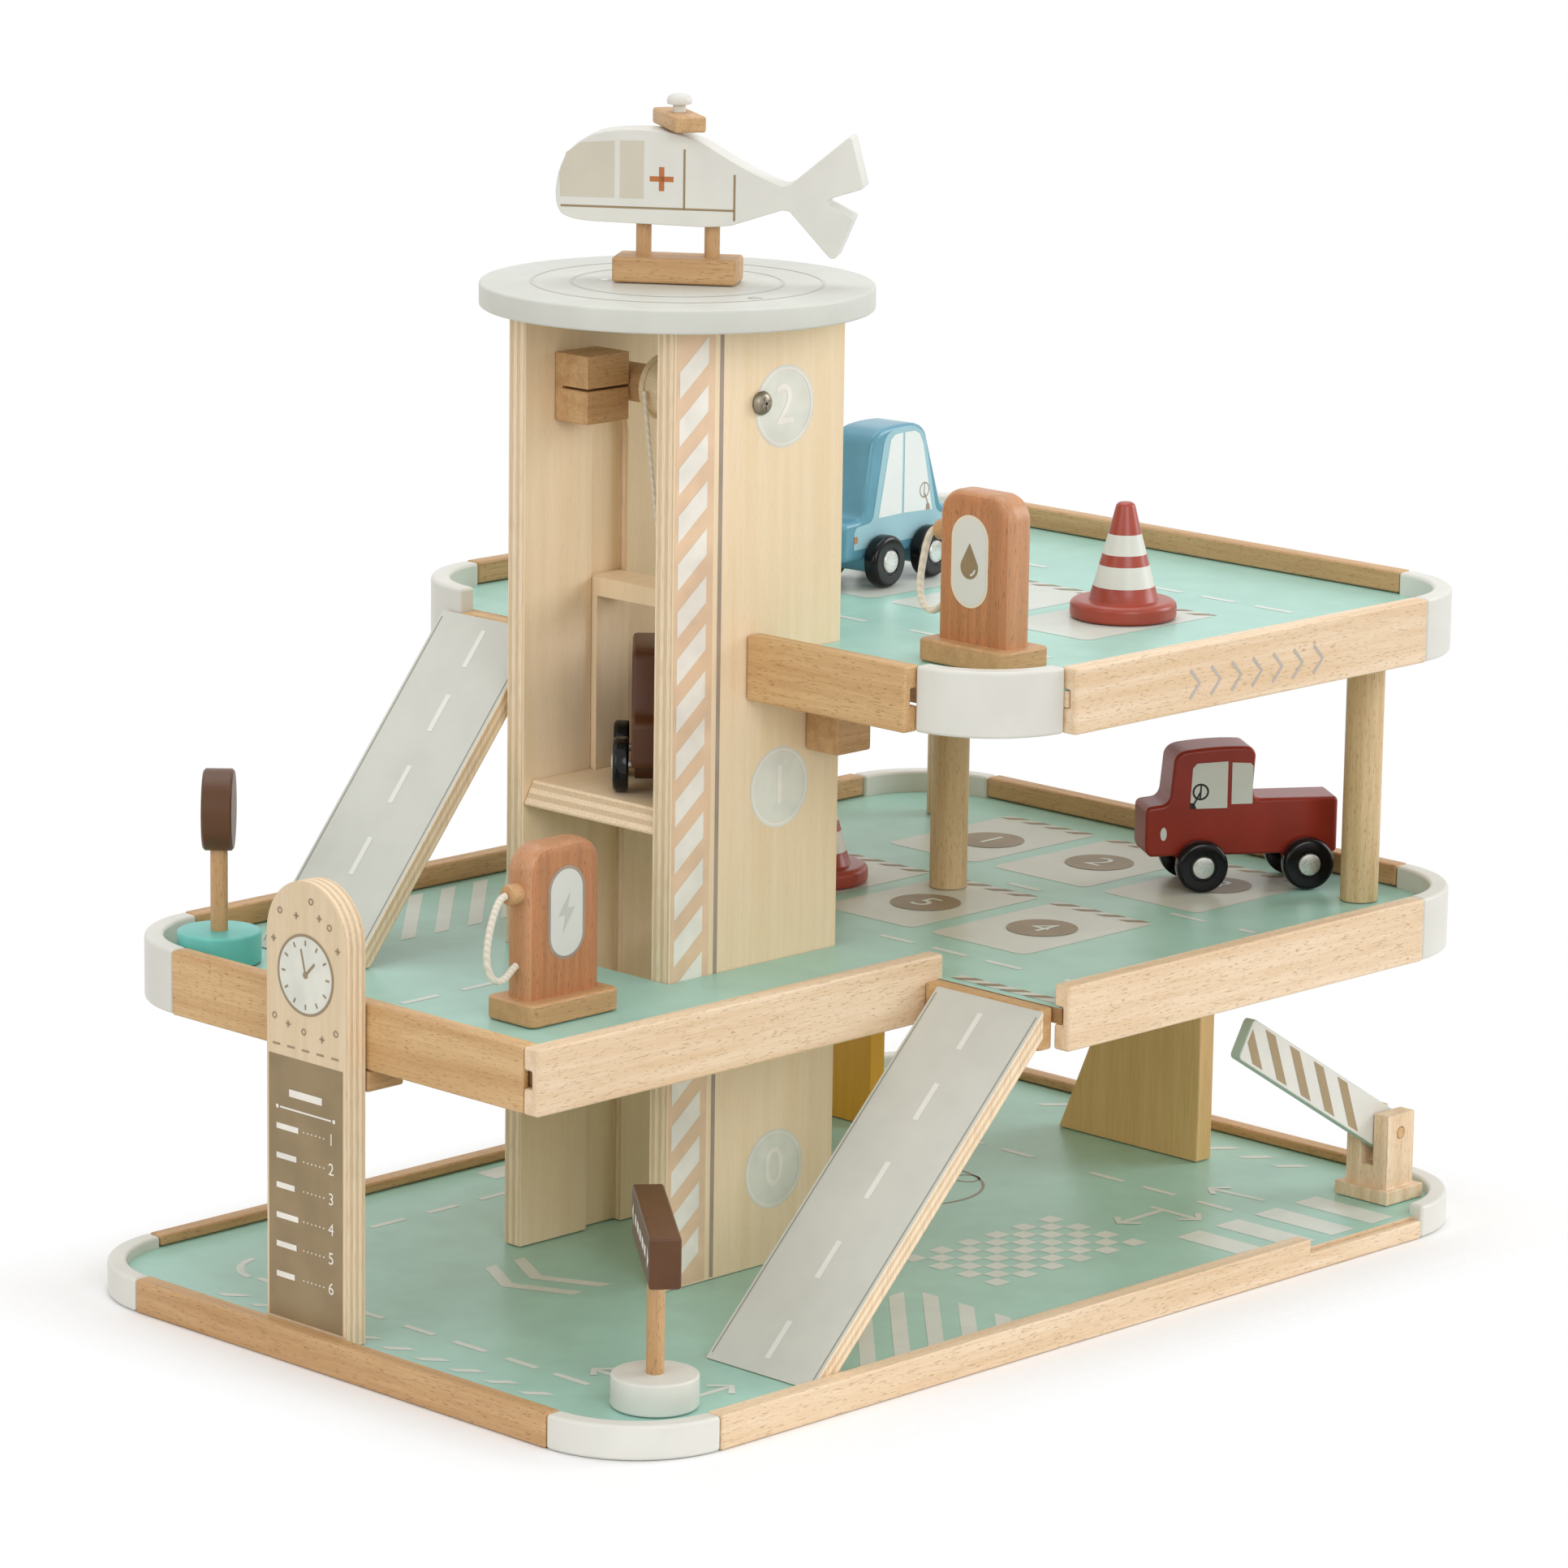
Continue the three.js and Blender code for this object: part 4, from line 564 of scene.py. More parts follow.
def dress_mesh(name, mesh, looks, edge, body, nodes, segments=3, angle=35.0):
    for key in looks:
        mesh.materials.append(look(key))
    mesh.shade_smooth()
    mesh.set_sharp_from_angle(angle=math.radians(angle))
    piece = bpy.data.objects.new(name, mesh)
    bpy.context.scene.collection.objects.link(piece)
    if edge:
        ease = piece.modifiers.new("Eased edges", "BEVEL")
        ease.width = edge
        ease.segments = segments
        ease.limit_method = "ANGLE"
        ease.angle_limit = math.radians(angle)
        ease.harden_normals = True
        ease.use_clamp_overlap = True
    if body:
        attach(piece, body)
    if nodes:
        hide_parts(*nodes)
    return piece


def dressed(node, looks, edge, body="building", chooser=None, name=None):
    """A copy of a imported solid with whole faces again, eased edges and its real finish."""
    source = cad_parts[node]
    bm = bmesh.new()
    bm.from_mesh(source.data)
    bm.transform(source.matrix_world)
    bmesh.ops.remove_doubles(bm, verts=list(bm.verts), dist=SOLID_MERGE)
    bmesh.ops.dissolve_limit(bm, angle_limit=math.radians(FLAT_ANGLE), verts=list(bm.verts),
                             edges=list(bm.edges))
    bmesh.ops.recalc_face_normals(bm, faces=list(bm.faces))
    if chooser:
        for face in bm.faces:
            face.material_index = chooser(face)
    mesh = bpy.data.meshes.new(name or node + "_finish")
    bm.to_mesh(mesh)
    bm.free()
    return dress_mesh(name or node + "_finish", mesh, looks, edge, body, (node,))


# ---- Printed shapes, drawn flat and laid on a surface

class Sheet:
    """Flat shapes on one plane: origin, its two directions, and the body that it rides on."""

    def __init__(self, origin, across, up, body="building", place=Matrix(), behind=False):
        self.origin, self.across, self.up = Vector(origin), Vector(across), Vector(up)
        self.body, self.place, self.behind = body, place, behind
        self.shapes = {}

    def point(self, a, b, lift):
        normal = self.across.cross(self.up).normalized() * (-1 if self.behind else 1)
        return self.origin + self.across * a + self.up * b + normal * lift

    def add(self, ink, polygon, layer=1):
        self.shapes.setdefault((ink, layer), []).append(polygon)

    def rect(self, ink, x0, y0, x1, y1, layer=1):
        self.add(ink, [(x0, y0), (x1, y0), (x1, y1), (x0, y1)], layer)

    def bar(self, ink, x0, y0, x1, y1, width, layer=1):
        run = Vector((x1 - x0, y1 - y0)).normalized() * width / 2
        self.add(ink, [(x0 + run.y, y0 - run.x), (x1 + run.y, y1 - run.x),
                       (x1 - run.y, y1 + run.x), (x0 - run.y, y0 + run.x)], layer)

    def disc(self, ink, x, y, radius, layer=1, steps=48):
        self.add(ink, arc(x, y, radius, 0, 360 - 360 / steps, steps - 1), layer)

    def strip(self, ink, outer, inner, layer=1, closed=True):
        count = len(outer) if closed else len(outer) - 1
        for i in range(count):
            j = (i + 1) % len(outer)
            self.add(ink, [outer[i], outer[j], inner[j], inner[i]], layer)

    def ring(self, ink, x, y, outer, inner, layer=1, steps=64):
        a = arc(x, y, outer, 0, 360 - 360 / steps, steps - 1)
        b = arc(x, y, inner, 0, 360 - 360 / steps, steps - 1)
        self.strip(ink, a, b, layer)

    def path(self, ink, points, width, layer=1):
        left, right = [], []
        for i, p in enumerate(points):
            a = Vector(points[max(i - 1, 0)])
            b = Vector(points[min(i + 1, len(points) - 1)])
            run = (b - a).normalized() * width / 2
            left.append((p[0] - run.y, p[1] + run.x))
            right.append((p[0] + run.y, p[1] - run.x))
        self.strip(ink, left, right, layer, closed=False)

    def figure(self, ink, text, x, y, size, layer=1, turn=0.0):
        """A plain numeral, centred on the point, with its top towards the sheet's up."""
        curve = bpy.data.curves.new("figure", "FONT")
        curve.body = text
        curve.size = size
        curve.align_x = "CENTER"
        curve.align_y = "CENTER"
        curve.resolution_u = 4
        holder = bpy.data.objects.new("figure", curve)
        mesh = holder.to_mesh()
        spin = Matrix.Rotation(math.radians(turn), 2)
        for face in mesh.polygons:
            points = [spin @ mesh.vertices[i].co.xy for i in face.vertices]
            self.add(ink, [(x + p.x, y + p.y) for p in points], layer)
        holder.to_mesh_clear()
        bpy.data.objects.remove(holder)
        bpy.data.curves.remove(curve)

    def print(self, name, slot=None):
        for (ink, layer), polygons in self.shapes.items():
            bm = bmesh.new()
            for polygon in polygons:
                verts = [bm.verts.new(self.point(a, b, LAYER * layer)) for a, b in polygon]
                bm.faces.new(verts[::-1] if self.behind else verts)
            bmesh.ops.remove_doubles(bm, verts=list(bm.verts), dist=MESH_MERGE)
            bm.transform(TO_FRAME @ self.place)
            title = f"{name}_{ink}_{layer}"
            mesh = bpy.data.meshes.new(title)
            bm.to_mesh(mesh)
            bm.free()
            mesh.materials.append(look(ink))
            piece = bpy.data.objects.new(title, mesh)
            bpy.context.scene.collection.objects.link(piece)
            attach(piece, self.body)


def both_sides(name, body, place, depth, draw, slot):
    """Prints one layout on the front and on the rear face of an upright toy."""
    for title, side in (("front", -1), ("rear", 1)):
        sheet = Sheet((0, side * depth, 0), (1, 0, 0), (0, 0, 1), body, place, side > 0)
        draw(sheet)
        sheet.print(f"{name}_{title}", slot)


def lying(x, y, z, turn):
    """Where a loose piece stands: its place, its floor and how far it is turned, in degrees."""
    return Matrix.Translation((x, y, z)) @ Matrix.Rotation(math.radians(turn), 4, "Z")


# ---- Camera

CAMERA_PLACE = (-1.77344, -1.70948, 0.73001)
CAMERA_RIGHT = (0.71205, -0.70205, 0.01006)
CAMERA_FORWARD = (0.68757, 0.69432, -0.21252)
CAMERA_LENS = 150.59
CAMERA_SHIFT = (0.0856, -0.0132)


class GARAGE_OT_camera(bpy.types.Operator):
    """Sets the camera at the photograph's viewing angle"""

    bl_idname = "garage.camera"
    bl_label = "Camera"

    def execute(self, context):
        data = bpy.data.cameras.new("photo_camera")
        data.sensor_fit = "HORIZONTAL"
        data.sensor_width = 36.0
        data.lens = CAMERA_LENS
        data.shift_x, data.shift_y = CAMERA_SHIFT
        data.clip_start = 0.1
        data.clip_end = 20.0
        camera = bpy.data.objects.new("photo_camera", data)
        context.scene.collection.objects.link(camera)
        forward = Vector(CAMERA_FORWARD).normalized()
        right = Vector(CAMERA_RIGHT)
        right = (right - forward * right.dot(forward)).normalized()
        up = right.cross(forward)
        turn = Matrix((right, up, -forward)).transposed().to_4x4()
        camera.matrix_world = Matrix.Translation(CAMERA_PLACE) @ turn
        context.scene.camera = camera
        return {"FINISHED"}


# ---- Ropes

PUMP_BASE = 8.7
PUMP_HALF = 18.25
ROPE_RADIUS = 1.35
# Side, distance out from the pump and height above its foot's top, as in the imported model
ROPE_POINTS = [
    (0, 5.9, 39.4), (0, 7.6, 39.2), (0, 9.2, 38.0), (0, 10.6, 35.6), (0.2, 11.9, 32.4), (0.4, 13.0, 28.8),
    (0.5, 13.9, 25.0), (0.5, 14.6, 21.0), (0.4, 14.9, 17.0), (0.2, 14.4, 13.2), (0, 13.0, 10.2),
    (0, 10.8, 8.3), (0, 8.2, 7.8), (0, 5.8, 8.6), (0, 3.8, 10.2), (0, 2.2, 11.5), (0, 0.9, 12.3),
    (0, 0.3, 12.5),
]
PUMPS = {
    "middle_pump": lying(82, 127, MIDDLE_TOP + CLEARANCE, 0),
    "upper_pump": lying(241, 62.5, UPPER_TOP + CLEARANCE, -90),
}
# The lift's cord runs from the top of the lift's roof to the side of the spool
CORD_RADIUS = 0.8
CORD_FOOT = Vector((TOWER_CENTRE - 5.93, TOWER_MIDDLE, LIFT_ROOF + LIFT_ROOF_THICKNESS + CLEARANCE))
CORD_TOP = Vector((TOWER_CENTRE - 13.2, 178.5, SHAFT_HEIGHT))


class GARAGE_OT_ropes(bpy.types.Operator):
    """Makes the ropes of the two fuel pumps and the lift's cord"""

    bl_idname = "garage.ropes"
    bl_label = "Ropes and cord"

    def execute(self, context):
        for name, place in PUMPS.items():
            pump_rope(context, name, place)
        lift_cord()
        return {"FINISHED"}


def pump_rope(context, name, place):
    curve = bpy.data.curves.new(name + "_rope_curve", "CURVE")
    curve.dimensions = "3D"
    curve.bevel_depth = ROPE_RADIUS * MILLIMETRE
    curve.bevel_resolution = 6
    curve.resolution_u = 6
    curve.use_fill_caps = True
    spline = curve.splines.new("NURBS")
    spline.points.add(len(ROPE_POINTS) - 1)
    for point, (side, out, height) in zip(spline.points, ROPE_POINTS):
        local = Vector((-PUMP_HALF - out, side, PUMP_BASE + height))
        point.co = ((TO_FRAME @ place @ local).to_tuple() + (1.0,))
    spline.order_u = 4
    spline.use_endpoint_u = True
    curve.materials.append(look("cord"))
    rope = bpy.data.objects.new(name + "_rope_cord", curve)
    context.scene.collection.objects.link(rope)
    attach(rope, name + "_body")
    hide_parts(name + "_rope")
    _, out, height = ROPE_POINTS[0]


def lift_cord():
    """The straight stretch of cord from the lift's roof to the spool, made once at the lift's place; on the
    real toy it shortens and lengthens as the lift moves.
    """
    foot, top = CORD_FOOT, CORD_TOP
    length = (top - foot).length
    turn = (top - foot).to_track_quat("Z", "Y").to_matrix().to_4x4()
    bm = bmesh.new()
    lathe(bm, [(0, 0), (CORD_RADIUS, 0), (CORD_RADIUS, length), (0, length)], 16)
    line = make_object("lift_cord_line", bm, ["cord"], Matrix.Translation(foot) @ turn, body=None,
                       nodes=("lift_cord",))
    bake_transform(line)


# ---- Decks

# How far a deck panel's edge, which lies in the rails' grooves, stays behind the rails' outer faces
PANEL_INSET = RAIL - GROOVE + CLEARANCE
CORNER_STEPS = 32
PANEL_STEPS = 16
WELL_RADIUS = 0.5


def quarter_ring(bm, x, y, quarter, inset, low, high):
    """A corner piece round the quarter of a circle, with its outer faces on the deck's edges."""
    outer = arc(0, 0, CORNER_ARM - inset, quarter * 90, quarter * 90 + 90, CORNER_STEPS)
    inner = arc(0, 0, CORNER_ARM - RAIL - inset, quarter * 90 + 90, quarter * 90, CORNER_STEPS)
    angle = math.radians(quarter * 90 + 45)
    cx = x - math.copysign(CORNER_ARM, math.cos(angle))
    cy = y - math.copysign(CORNER_ARM, math.sin(angle))
    prism(bm, [(cx + a, cy + b) for a, b in outer + inner], low, high)


def panel_outline(x0, x1, y0, y1, corners):
    """The deck's edge, in the rails' grooves. corners names the corners that are rounded."""
    left, right, front, rear = x0 + PANEL_INSET, x1 - PANEL_INSET, y0 + PANEL_INSET, y1 - PANEL_INSET
    r = CORNER_ARM - PANEL_INSET
    points = []
    turns = (("front_left", left, front, 1, 1, 180), ("front_right", right, front, -1, 1, 270),
             ("back_right", right, rear, -1, -1, 0), ("back_left", left, rear, 1, -1, 90))
    for name, cx, cy, sx, sy, start in turns:
        if name in corners:
            points += arc(cx + sx * r, cy + sy * r, r, start, start + 90, PANEL_STEPS)
        else:
            points.append((cx, cy))
    return points


def deck_panel(name, outline, holes, top, edge_look, nodes):
    """A board under this outline: printed above, bare below, and with its own look round the edge."""
    bm = bmesh.new()
    edges = []
    for loop in [outline] + holes:
        verts = [bm.verts.new((x, y, top)) for x, y in loop]
        edges += [bm.edges.new((verts[i], verts[(i + 1) % len(verts)])) for i in range(len(verts))]
    bmesh.ops.triangle_fill(bm, use_beauty=True, use_dissolve=False, edges=edges, normal=(0, 0, 1))
    bmesh.ops.dissolve_limit(bm, angle_limit=0.01, verts=list(bm.verts), edges=list(bm.edges))
    for face in bm.faces:
        if face.normal.z < 0:
            face.normal_flip()
    walls = bmesh.ops.extrude_face_region(bm, geom=list(bm.faces))["geom"]
    moved = [g for g in walls if isinstance(g, bmesh.types.BMVert)]
    bmesh.ops.translate(bm, vec=(0, 0, -PANEL), verts=moved)
    bmesh.ops.recalc_face_normals(bm, faces=list(bm.faces))
    for face in bm.faces:
        face.material_index = 0 if face.normal.z > 0.5 else 2 if face.normal.z < -0.5 else 1
    return make_object(name, bm, ["mint", edge_look, "birch_x"], nodes=nodes)


class GARAGE_OT_decks(bpy.types.Operator):
    """Makes the three deck panels and their white corner pieces"""

    bl_idname = "garage.decks"
    bl_label = "Decks and corner pieces"

    def execute(self, context):
        every_corner = ("front_left", "front_right", "back_right", "back_left")
        ground = panel_outline(0, BASE_LENGTH, 0, BASE_WIDTH, every_corner)
        deck_panel("ground_deck_panel", ground, [], GROUND_TOP, "beech_x", ("ground_floor",))
        well = rounded_box(TOWER_LEFT - CLEARANCE, TOWER_RIGHT + CLEARANCE, TOWER_FRONT - CLEARANCE,
                           TOWER_BACK + CLEARANCE, WELL_RADIUS, 2)
        # The middle deck's edge takes the dark groove look, which is painted shade in the rails' grooves
        deck_panel("middle_deck_panel", middle_outline(every_corner[1:]), [well[::-1]], MIDDLE_TOP,
                   "groove", ("middle_deck",))
        deck_panel("upper_deck_panel", upper_outline(every_corner[1:]), [], UPPER_TOP, "beech_x",
                   ("upper_deck",))
        corner_pieces(settings()[1].corner_edge)
        return {"FINISHED"}


def middle_outline(corners):
    """The middle deck's edge, with the notch that the lower ramp leads to at its front left."""
    notch_back, notch_right = NOTCH_BACK + PANEL_INSET, NOTCH_RIGHT + CLEARANCE
    notch = [(MIDDLE_LEFT + PANEL_INSET, notch_back), (notch_right, notch_back),
             (notch_right, MIDDLE_FRONT + PANEL_INSET)]
    return notch + panel_outline(MIDDLE_LEFT, MIDDLE_RIGHT, MIDDLE_FRONT, BASE_WIDTH, corners)[1:]


def upper_outline(corners):
    """The upper deck's edge, which passes in front of the tower, round it and behind it."""
    behind = UPPER_LEFT_BEHIND + RAIL
    round_tower = [(behind + CLEARANCE, TOWER_BACK + CLEARANCE),
                   (TOWER_RIGHT + CLEARANCE, TOWER_BACK + CLEARANCE),
                   (TOWER_RIGHT + CLEARANCE, TOWER_FRONT - CLEARANCE),
                   (UPPER_LEFT + PANEL_INSET, TOWER_FRONT - CLEARANCE)]
    x, y = UPPER_LEFT + CORNER_ARM, UPPER_FRONT + CORNER_ARM
    front = arc(x, y, CORNER_ARM - UPPER_INSET - PANEL_INSET, 180, 270, PANEL_STEPS)
    front.append((x, UPPER_FRONT + PANEL_INSET))
    ramp_gap = BASE_WIDTH - CORNER_ARM
    edge = panel_outline(UPPER_LEFT_BEHIND, UPPER_RIGHT, UPPER_FRONT, BASE_WIDTH, corners)[1:]
    edge = [p for p in edge if not (p[0] < behind and p[1] < ramp_gap)]
    return round_tower + front + edge + [(behind + CLEARANCE, ramp_gap + CLEARANCE)]


def corner_pieces(edge):
    """Makes the white pieces. Each has its deck's corner, quarter, inset, foot and top."""
    middle = (MIDDLE_TOP + RAIL_ABOVE - RAIL_HEIGHT, MIDDLE_TOP + RAIL_ABOVE)
    upper = (UPPER_TOP + RAIL_ABOVE - RAIL_HEIGHT, UPPER_TOP + RAIL_ABOVE)
    corners = {
        "ground_corner_front_left": (0, 0, 2, 0, 0, GROUND_RAIL_TOP),
        "ground_corner_front_right": (BASE_LENGTH, 0, 3, 0, 0, GROUND_RAIL_TOP),
        "ground_corner_back_right": (BASE_LENGTH, BASE_WIDTH, 0, 0, 0, GROUND_RAIL_TOP),
        "ground_corner_back_left": (0, BASE_WIDTH, 1, 0, 0, GROUND_RAIL_TOP),
        "middle_corner_front_right": (MIDDLE_RIGHT, MIDDLE_FRONT, 3, CORNER_INSET, *middle),
        "middle_corner_back_right": (MIDDLE_RIGHT, BASE_WIDTH, 0, CORNER_INSET, *middle),
        "middle_corner_back_left": (MIDDLE_LEFT, BASE_WIDTH, 1, CORNER_INSET, *middle),
        "upper_corner_front_left": (UPPER_LEFT, UPPER_FRONT, 2, UPPER_INSET, *upper),
        "upper_corner_front_right": (UPPER_RIGHT, UPPER_FRONT, 3, CORNER_INSET, *upper),
        "upper_corner_back_right": (UPPER_RIGHT, BASE_WIDTH, 0, CORNER_INSET, *upper),
        "upper_corner_back_left": (UPPER_LEFT_BEHIND, BASE_WIDTH, 1, CORNER_INSET, *upper),
    }
    for name, (x, y, quarter, inset, low, high) in corners.items():
        bm = bmesh.new()
        quarter_ring(bm, x, y, quarter, inset, low, high)
        make_object(name, bm, ["white"], edge=edge)


class GARAGE_OT_rails(bpy.types.Operator):
    """Finishes the grooved beech rails round the decks"""

    bl_idname = "garage.rails"
    bl_label = "Rails"

    def execute(self, context):
        sizes = settings()[1]
        rails = {"beech_x": ("ground_front_rail", "middle_front_left_rail", "middle_front_right_rail",
                             "upper_front_rail"),
                 "rear_x": ("ground_back_rail", "middle_back_rail", "upper_back_rail"),
                 "beech_y": ("middle_left_rail", "middle_ramp_rail", "upper_left_rail",
                             "upper_ramp_rail"),
                 "rear_y": ("ground_left_rail", "ground_right_rail", "middle_right_rail",
                            "upper_right_rail")}
        for finish, nodes in rails.items():
            for node in nodes:
                dressed(node, [finish], sizes.rail_edge)
        return {"FINISHED"}


HELIPAD_EDGE = 1.0
# Outer and inner radius of the rings printed on the round platform, and where its screws are
PAD_RINGS = ((55.5, 54.3), (40.5, 39.3))
PAD_SCREWS = ((174.4, 197.6), (181.5, 125.5))
PAD_SCREW_PROFILE = [(0, -3), (2.9, -3), (2.9, 0.05), (2.2, 0.35), (0, 0.4)]


class GARAGE_OT_tower(bpy.types.Operator):
    """Finishes the tower's plywood walls and the round platform on top"""

    bl_idname = "garage.tower"
    bl_label = "Tower"

    def execute(self, context):
        sizes = settings()[1]
        faces_y = lambda face: 0 if abs(face.normal.y) > 0.9 else 1
        for side in ("front", "rear"):
            dressed(f"tower_{side}_wall", ["birch_z", f"{side}_wall_edge"], sizes.ply_edge, chooser=faces_y)
        bm = bmesh.new()
        r, top, e = HELIPAD_RADIUS, HELIPAD_THICKNESS, HELIPAD_EDGE
        lathe(bm, [(0, 0), (r - e, 0)] + arc(r - e, e, e, -90, 0, 4) + arc(r - e, top - e, e, 0, 90, 4)
              + [(0, top)], 160)
        make_object("helipad_disc", bm, ["ramp"],
                    Matrix.Translation((TOWER_CENTRE, TOWER_MIDDLE, HELIPAD_BOTTOM)), nodes=("helipad",))
        pad = Sheet((TOWER_CENTRE, TOWER_MIDDLE, HELIPAD_BOTTOM + top), (1, 0, 0), (0, 1, 0))
        for outer, inner in PAD_RINGS:
            pad.ring("pad_ring", 0, 0, outer, inner, steps=128)
        pad.print("helipad_print", "grey_paint")
        for i, (x, y) in enumerate(PAD_SCREWS):
            bm = bmesh.new()
            lathe(bm, PAD_SCREW_PROFILE, 32)
            place = Matrix.Translation((x, y, HELIPAD_BOTTOM + top))
            make_object(f"helipad_screw_{i}", bm, ["steel"], place)
        return {"FINISHED"}


# Faces of the lift's frame above this height are the roof's, and the spool lies between its front
# and back on the shaft
ROOF_ABOVE = 255.0
SPOOL = (166.3, 182.7)
SCREW_SHANK = 19.5
SCREW_PROFILE = [(0, 0), (2.2, 0), (2.2, SCREW_SHANK), (4.3, SCREW_SHANK), (4.6, 20.4), (3.9, 21.6),
                 (2.4, 22.3), (0, 22.5)]
SCREW_CROSS = ((-2.5, -0.5, 21.6), (2.5, 0.5, 22.6))
SCREW_TURN = 0.35


class GARAGE_OT_lift(bpy.types.Operator):
    """Finishes the lift and its winding gear"""

    bl_idname = "garage.lift"
    bl_label = "Lift and winding gear"

    def execute(self, context):
        sizes = settings()[1]
        sawn = lambda face: 1 if abs(face.normal.x) > 0.5 else 0
        dressed("lift_floor", ["birch_x", "lift_floor_edge"], sizes.ply_edge, "lift", sawn)
        roof = lambda face: 1 if abs(face.normal.x) > 0.9 and in_base(face).z > ROOF_ABOVE else 0
        dressed("lift_frame", ["birch_z", "lift_roof_edge"], sizes.ply_edge, "lift", roof)
        on_spool = lambda face: 1 if SPOOL[0] < in_base(face).y < SPOOL[1] else 0
        dressed("winding_shaft", ["rear_y", "spool"], sizes.ply_edge, "winder", on_spool)
        dressed("lift_crank", ["rear_z"], sizes.rail_edge, "winder")
        dressed("shaft_brake_block", ["rear_x"], sizes.ply_edge)
        bm = bmesh.new()
        lathe(bm, SCREW_PROFILE, 40)
        for turn in (SCREW_TURN, SCREW_TURN + math.pi / 2):
            verts = box(bm, *SCREW_CROSS)
            bmesh.ops.rotate(bm, verts=verts, cent=(0, 0, 0), matrix=Matrix.Rotation(turn, 3, "Z"))
        tip = TOWER_FRONT + SCREW_SHANK - CLEARANCE
        place = Matrix.Translation((TOWER_CENTRE, tip, SHAFT_HEIGHT)) @ STANDING
        make_object("cross_head_screw", bm, ["dull_steel"], place, body="winder", nodes=("shaft_screw",))
        return {"FINISHED"}


def in_base(face):
    """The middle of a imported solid's face, in millimetres from the base's left and front edges."""
    return TO_FRAME.inverted() @ face.calc_center_median()


POSTS = {"deck_post_front_middle": (339, 168), "deck_post_front_right": (443, 43),
         "deck_post_back_right": (436, 260)}
POST_RADIUS = 7.5
POST_EASE = 0.3
# The dashes' places as shares of a ramp's length, their half width and half length, and its side
# lines' half width and how far they stay in from the sides and the ends
RAMP_DASH_SHARES = (0.09, 0.3, 0.51, 0.72, 0.91)
RAMP_DASH = (1.3, 8.3)
RAMP_LINE = (0.3, 1.8, 3.0)


class GARAGE_OT_supports(bpy.types.Operator):
    """Makes the posts and finishes the support panels and blocks"""

    bl_idname = "garage.supports"
    bl_label = "Posts and supports"

    def execute(self, context):
        sizes = settings()[1]
        low, high = MIDDLE_TOP + CLEARANCE, UPPER_TOP - PANEL - CLEARANCE
        r, e = POST_RADIUS, POST_EASE
        for name, (x, y) in POSTS.items():
            bm = bmesh.new()
            lathe(bm, [(0, low), (r - e, low), (r, low + e), (r, high - e), (r - e, high), (0, high)], 64)
            make_object(name + "_dowel", bm, ["beech_z"], Matrix.Translation((x, y, 0)), nodes=(name,))
        # The right support's yellow is partly painted shade
        dressed("right_support_panel", ["support_face"], sizes.ply_edge)
        # The rear support's yellow is painted light
        dressed("back_support_panel", ["ply_in_painted_yellow_light"], sizes.ply_edge)
        dressed("upper_deck_block", ["rear_x"], sizes.rail_edge)
        dressed("board_block", ["rear_x"], sizes.rail_edge)
        painted_top = lambda face: 0 if face.normal.z > 0.3 else 1
        for node in ("lower_ramp", "upper_ramp"):
            dressed(node, ["ramp", node + "_edge"], sizes.ply_edge, chooser=painted_top)
        ramp_print("lower_ramp_print", LOWER_RAMP)
        ramp_print("upper_ramp_print", UPPER_RAMP)
        faces_x = lambda face: 0 if abs(face.normal.x) > 0.9 else 1
        # The board's face carries painted shade
        dressed("price_board", ["board_face", "board_edge"], sizes.ply_edge, chooser=faces_x)
        return {"FINISHED"}


def ramp_print(name, ramp):
    """A dashed line down the middle of a ramp and a thin line along each side."""
    (x0, z0), (x1, z1), middle = ramp
    slope = Vector((x1 - x0, 0, z1 - z0))
    sheet = Sheet((x0, middle, z0), (0, -1, 0), slope.normalized())
    wide, long = RAMP_DASH
    for share in RAMP_DASH_SHARES:
        at = share * slope.length
        sheet.rect("ramp_dash", -wide, at - long, wide, at + long)
    half, side_gap, end_gap = RAMP_LINE
    for side in (-1, 1):
        edge = side * (RAMP_WIDTH / 2 - side_gap)
        sheet.rect("ramp_line", edge - half, end_gap, edge + half, slope.length - end_gap)
    sheet.print(name, "grey_paint")


# ---- Cars

PICKUP = {
    "node": "pickup", "body": "pickup", "length": 78.5, "height": 58.2, "sill": 13.6, "spacing": 43.4,
    "shift": 4.5, "ends": ("front", "rear"), "look": "red", "slot": "red_paint",
    "place": lying(431.7, 92.3, MIDDLE_TOP + CLEARANCE, -34.7),
    "shares": [
        (0.03, 0), (0.0, 0.03, 0.0, 0.1), (0.0, 0.4), (0.0, 0.45, 0.03, 0.46), (0.08, 0.47),
        (0.12, 0.48, 0.125, 0.57), (0.14, 0.86), (0.15, 0.95, 0.22, 0.965), (0.38, 1.0, 0.52, 0.985),
        (0.56, 0.975, 0.565, 0.9), (0.555, 0.62), (0.555, 0.52, 0.6, 0.51), (0.98, 0.51),
        (1.0, 0.5, 1.0, 0.46), (1.0, 0.05), (1.0, 0.0, 0.97, 0)],
}
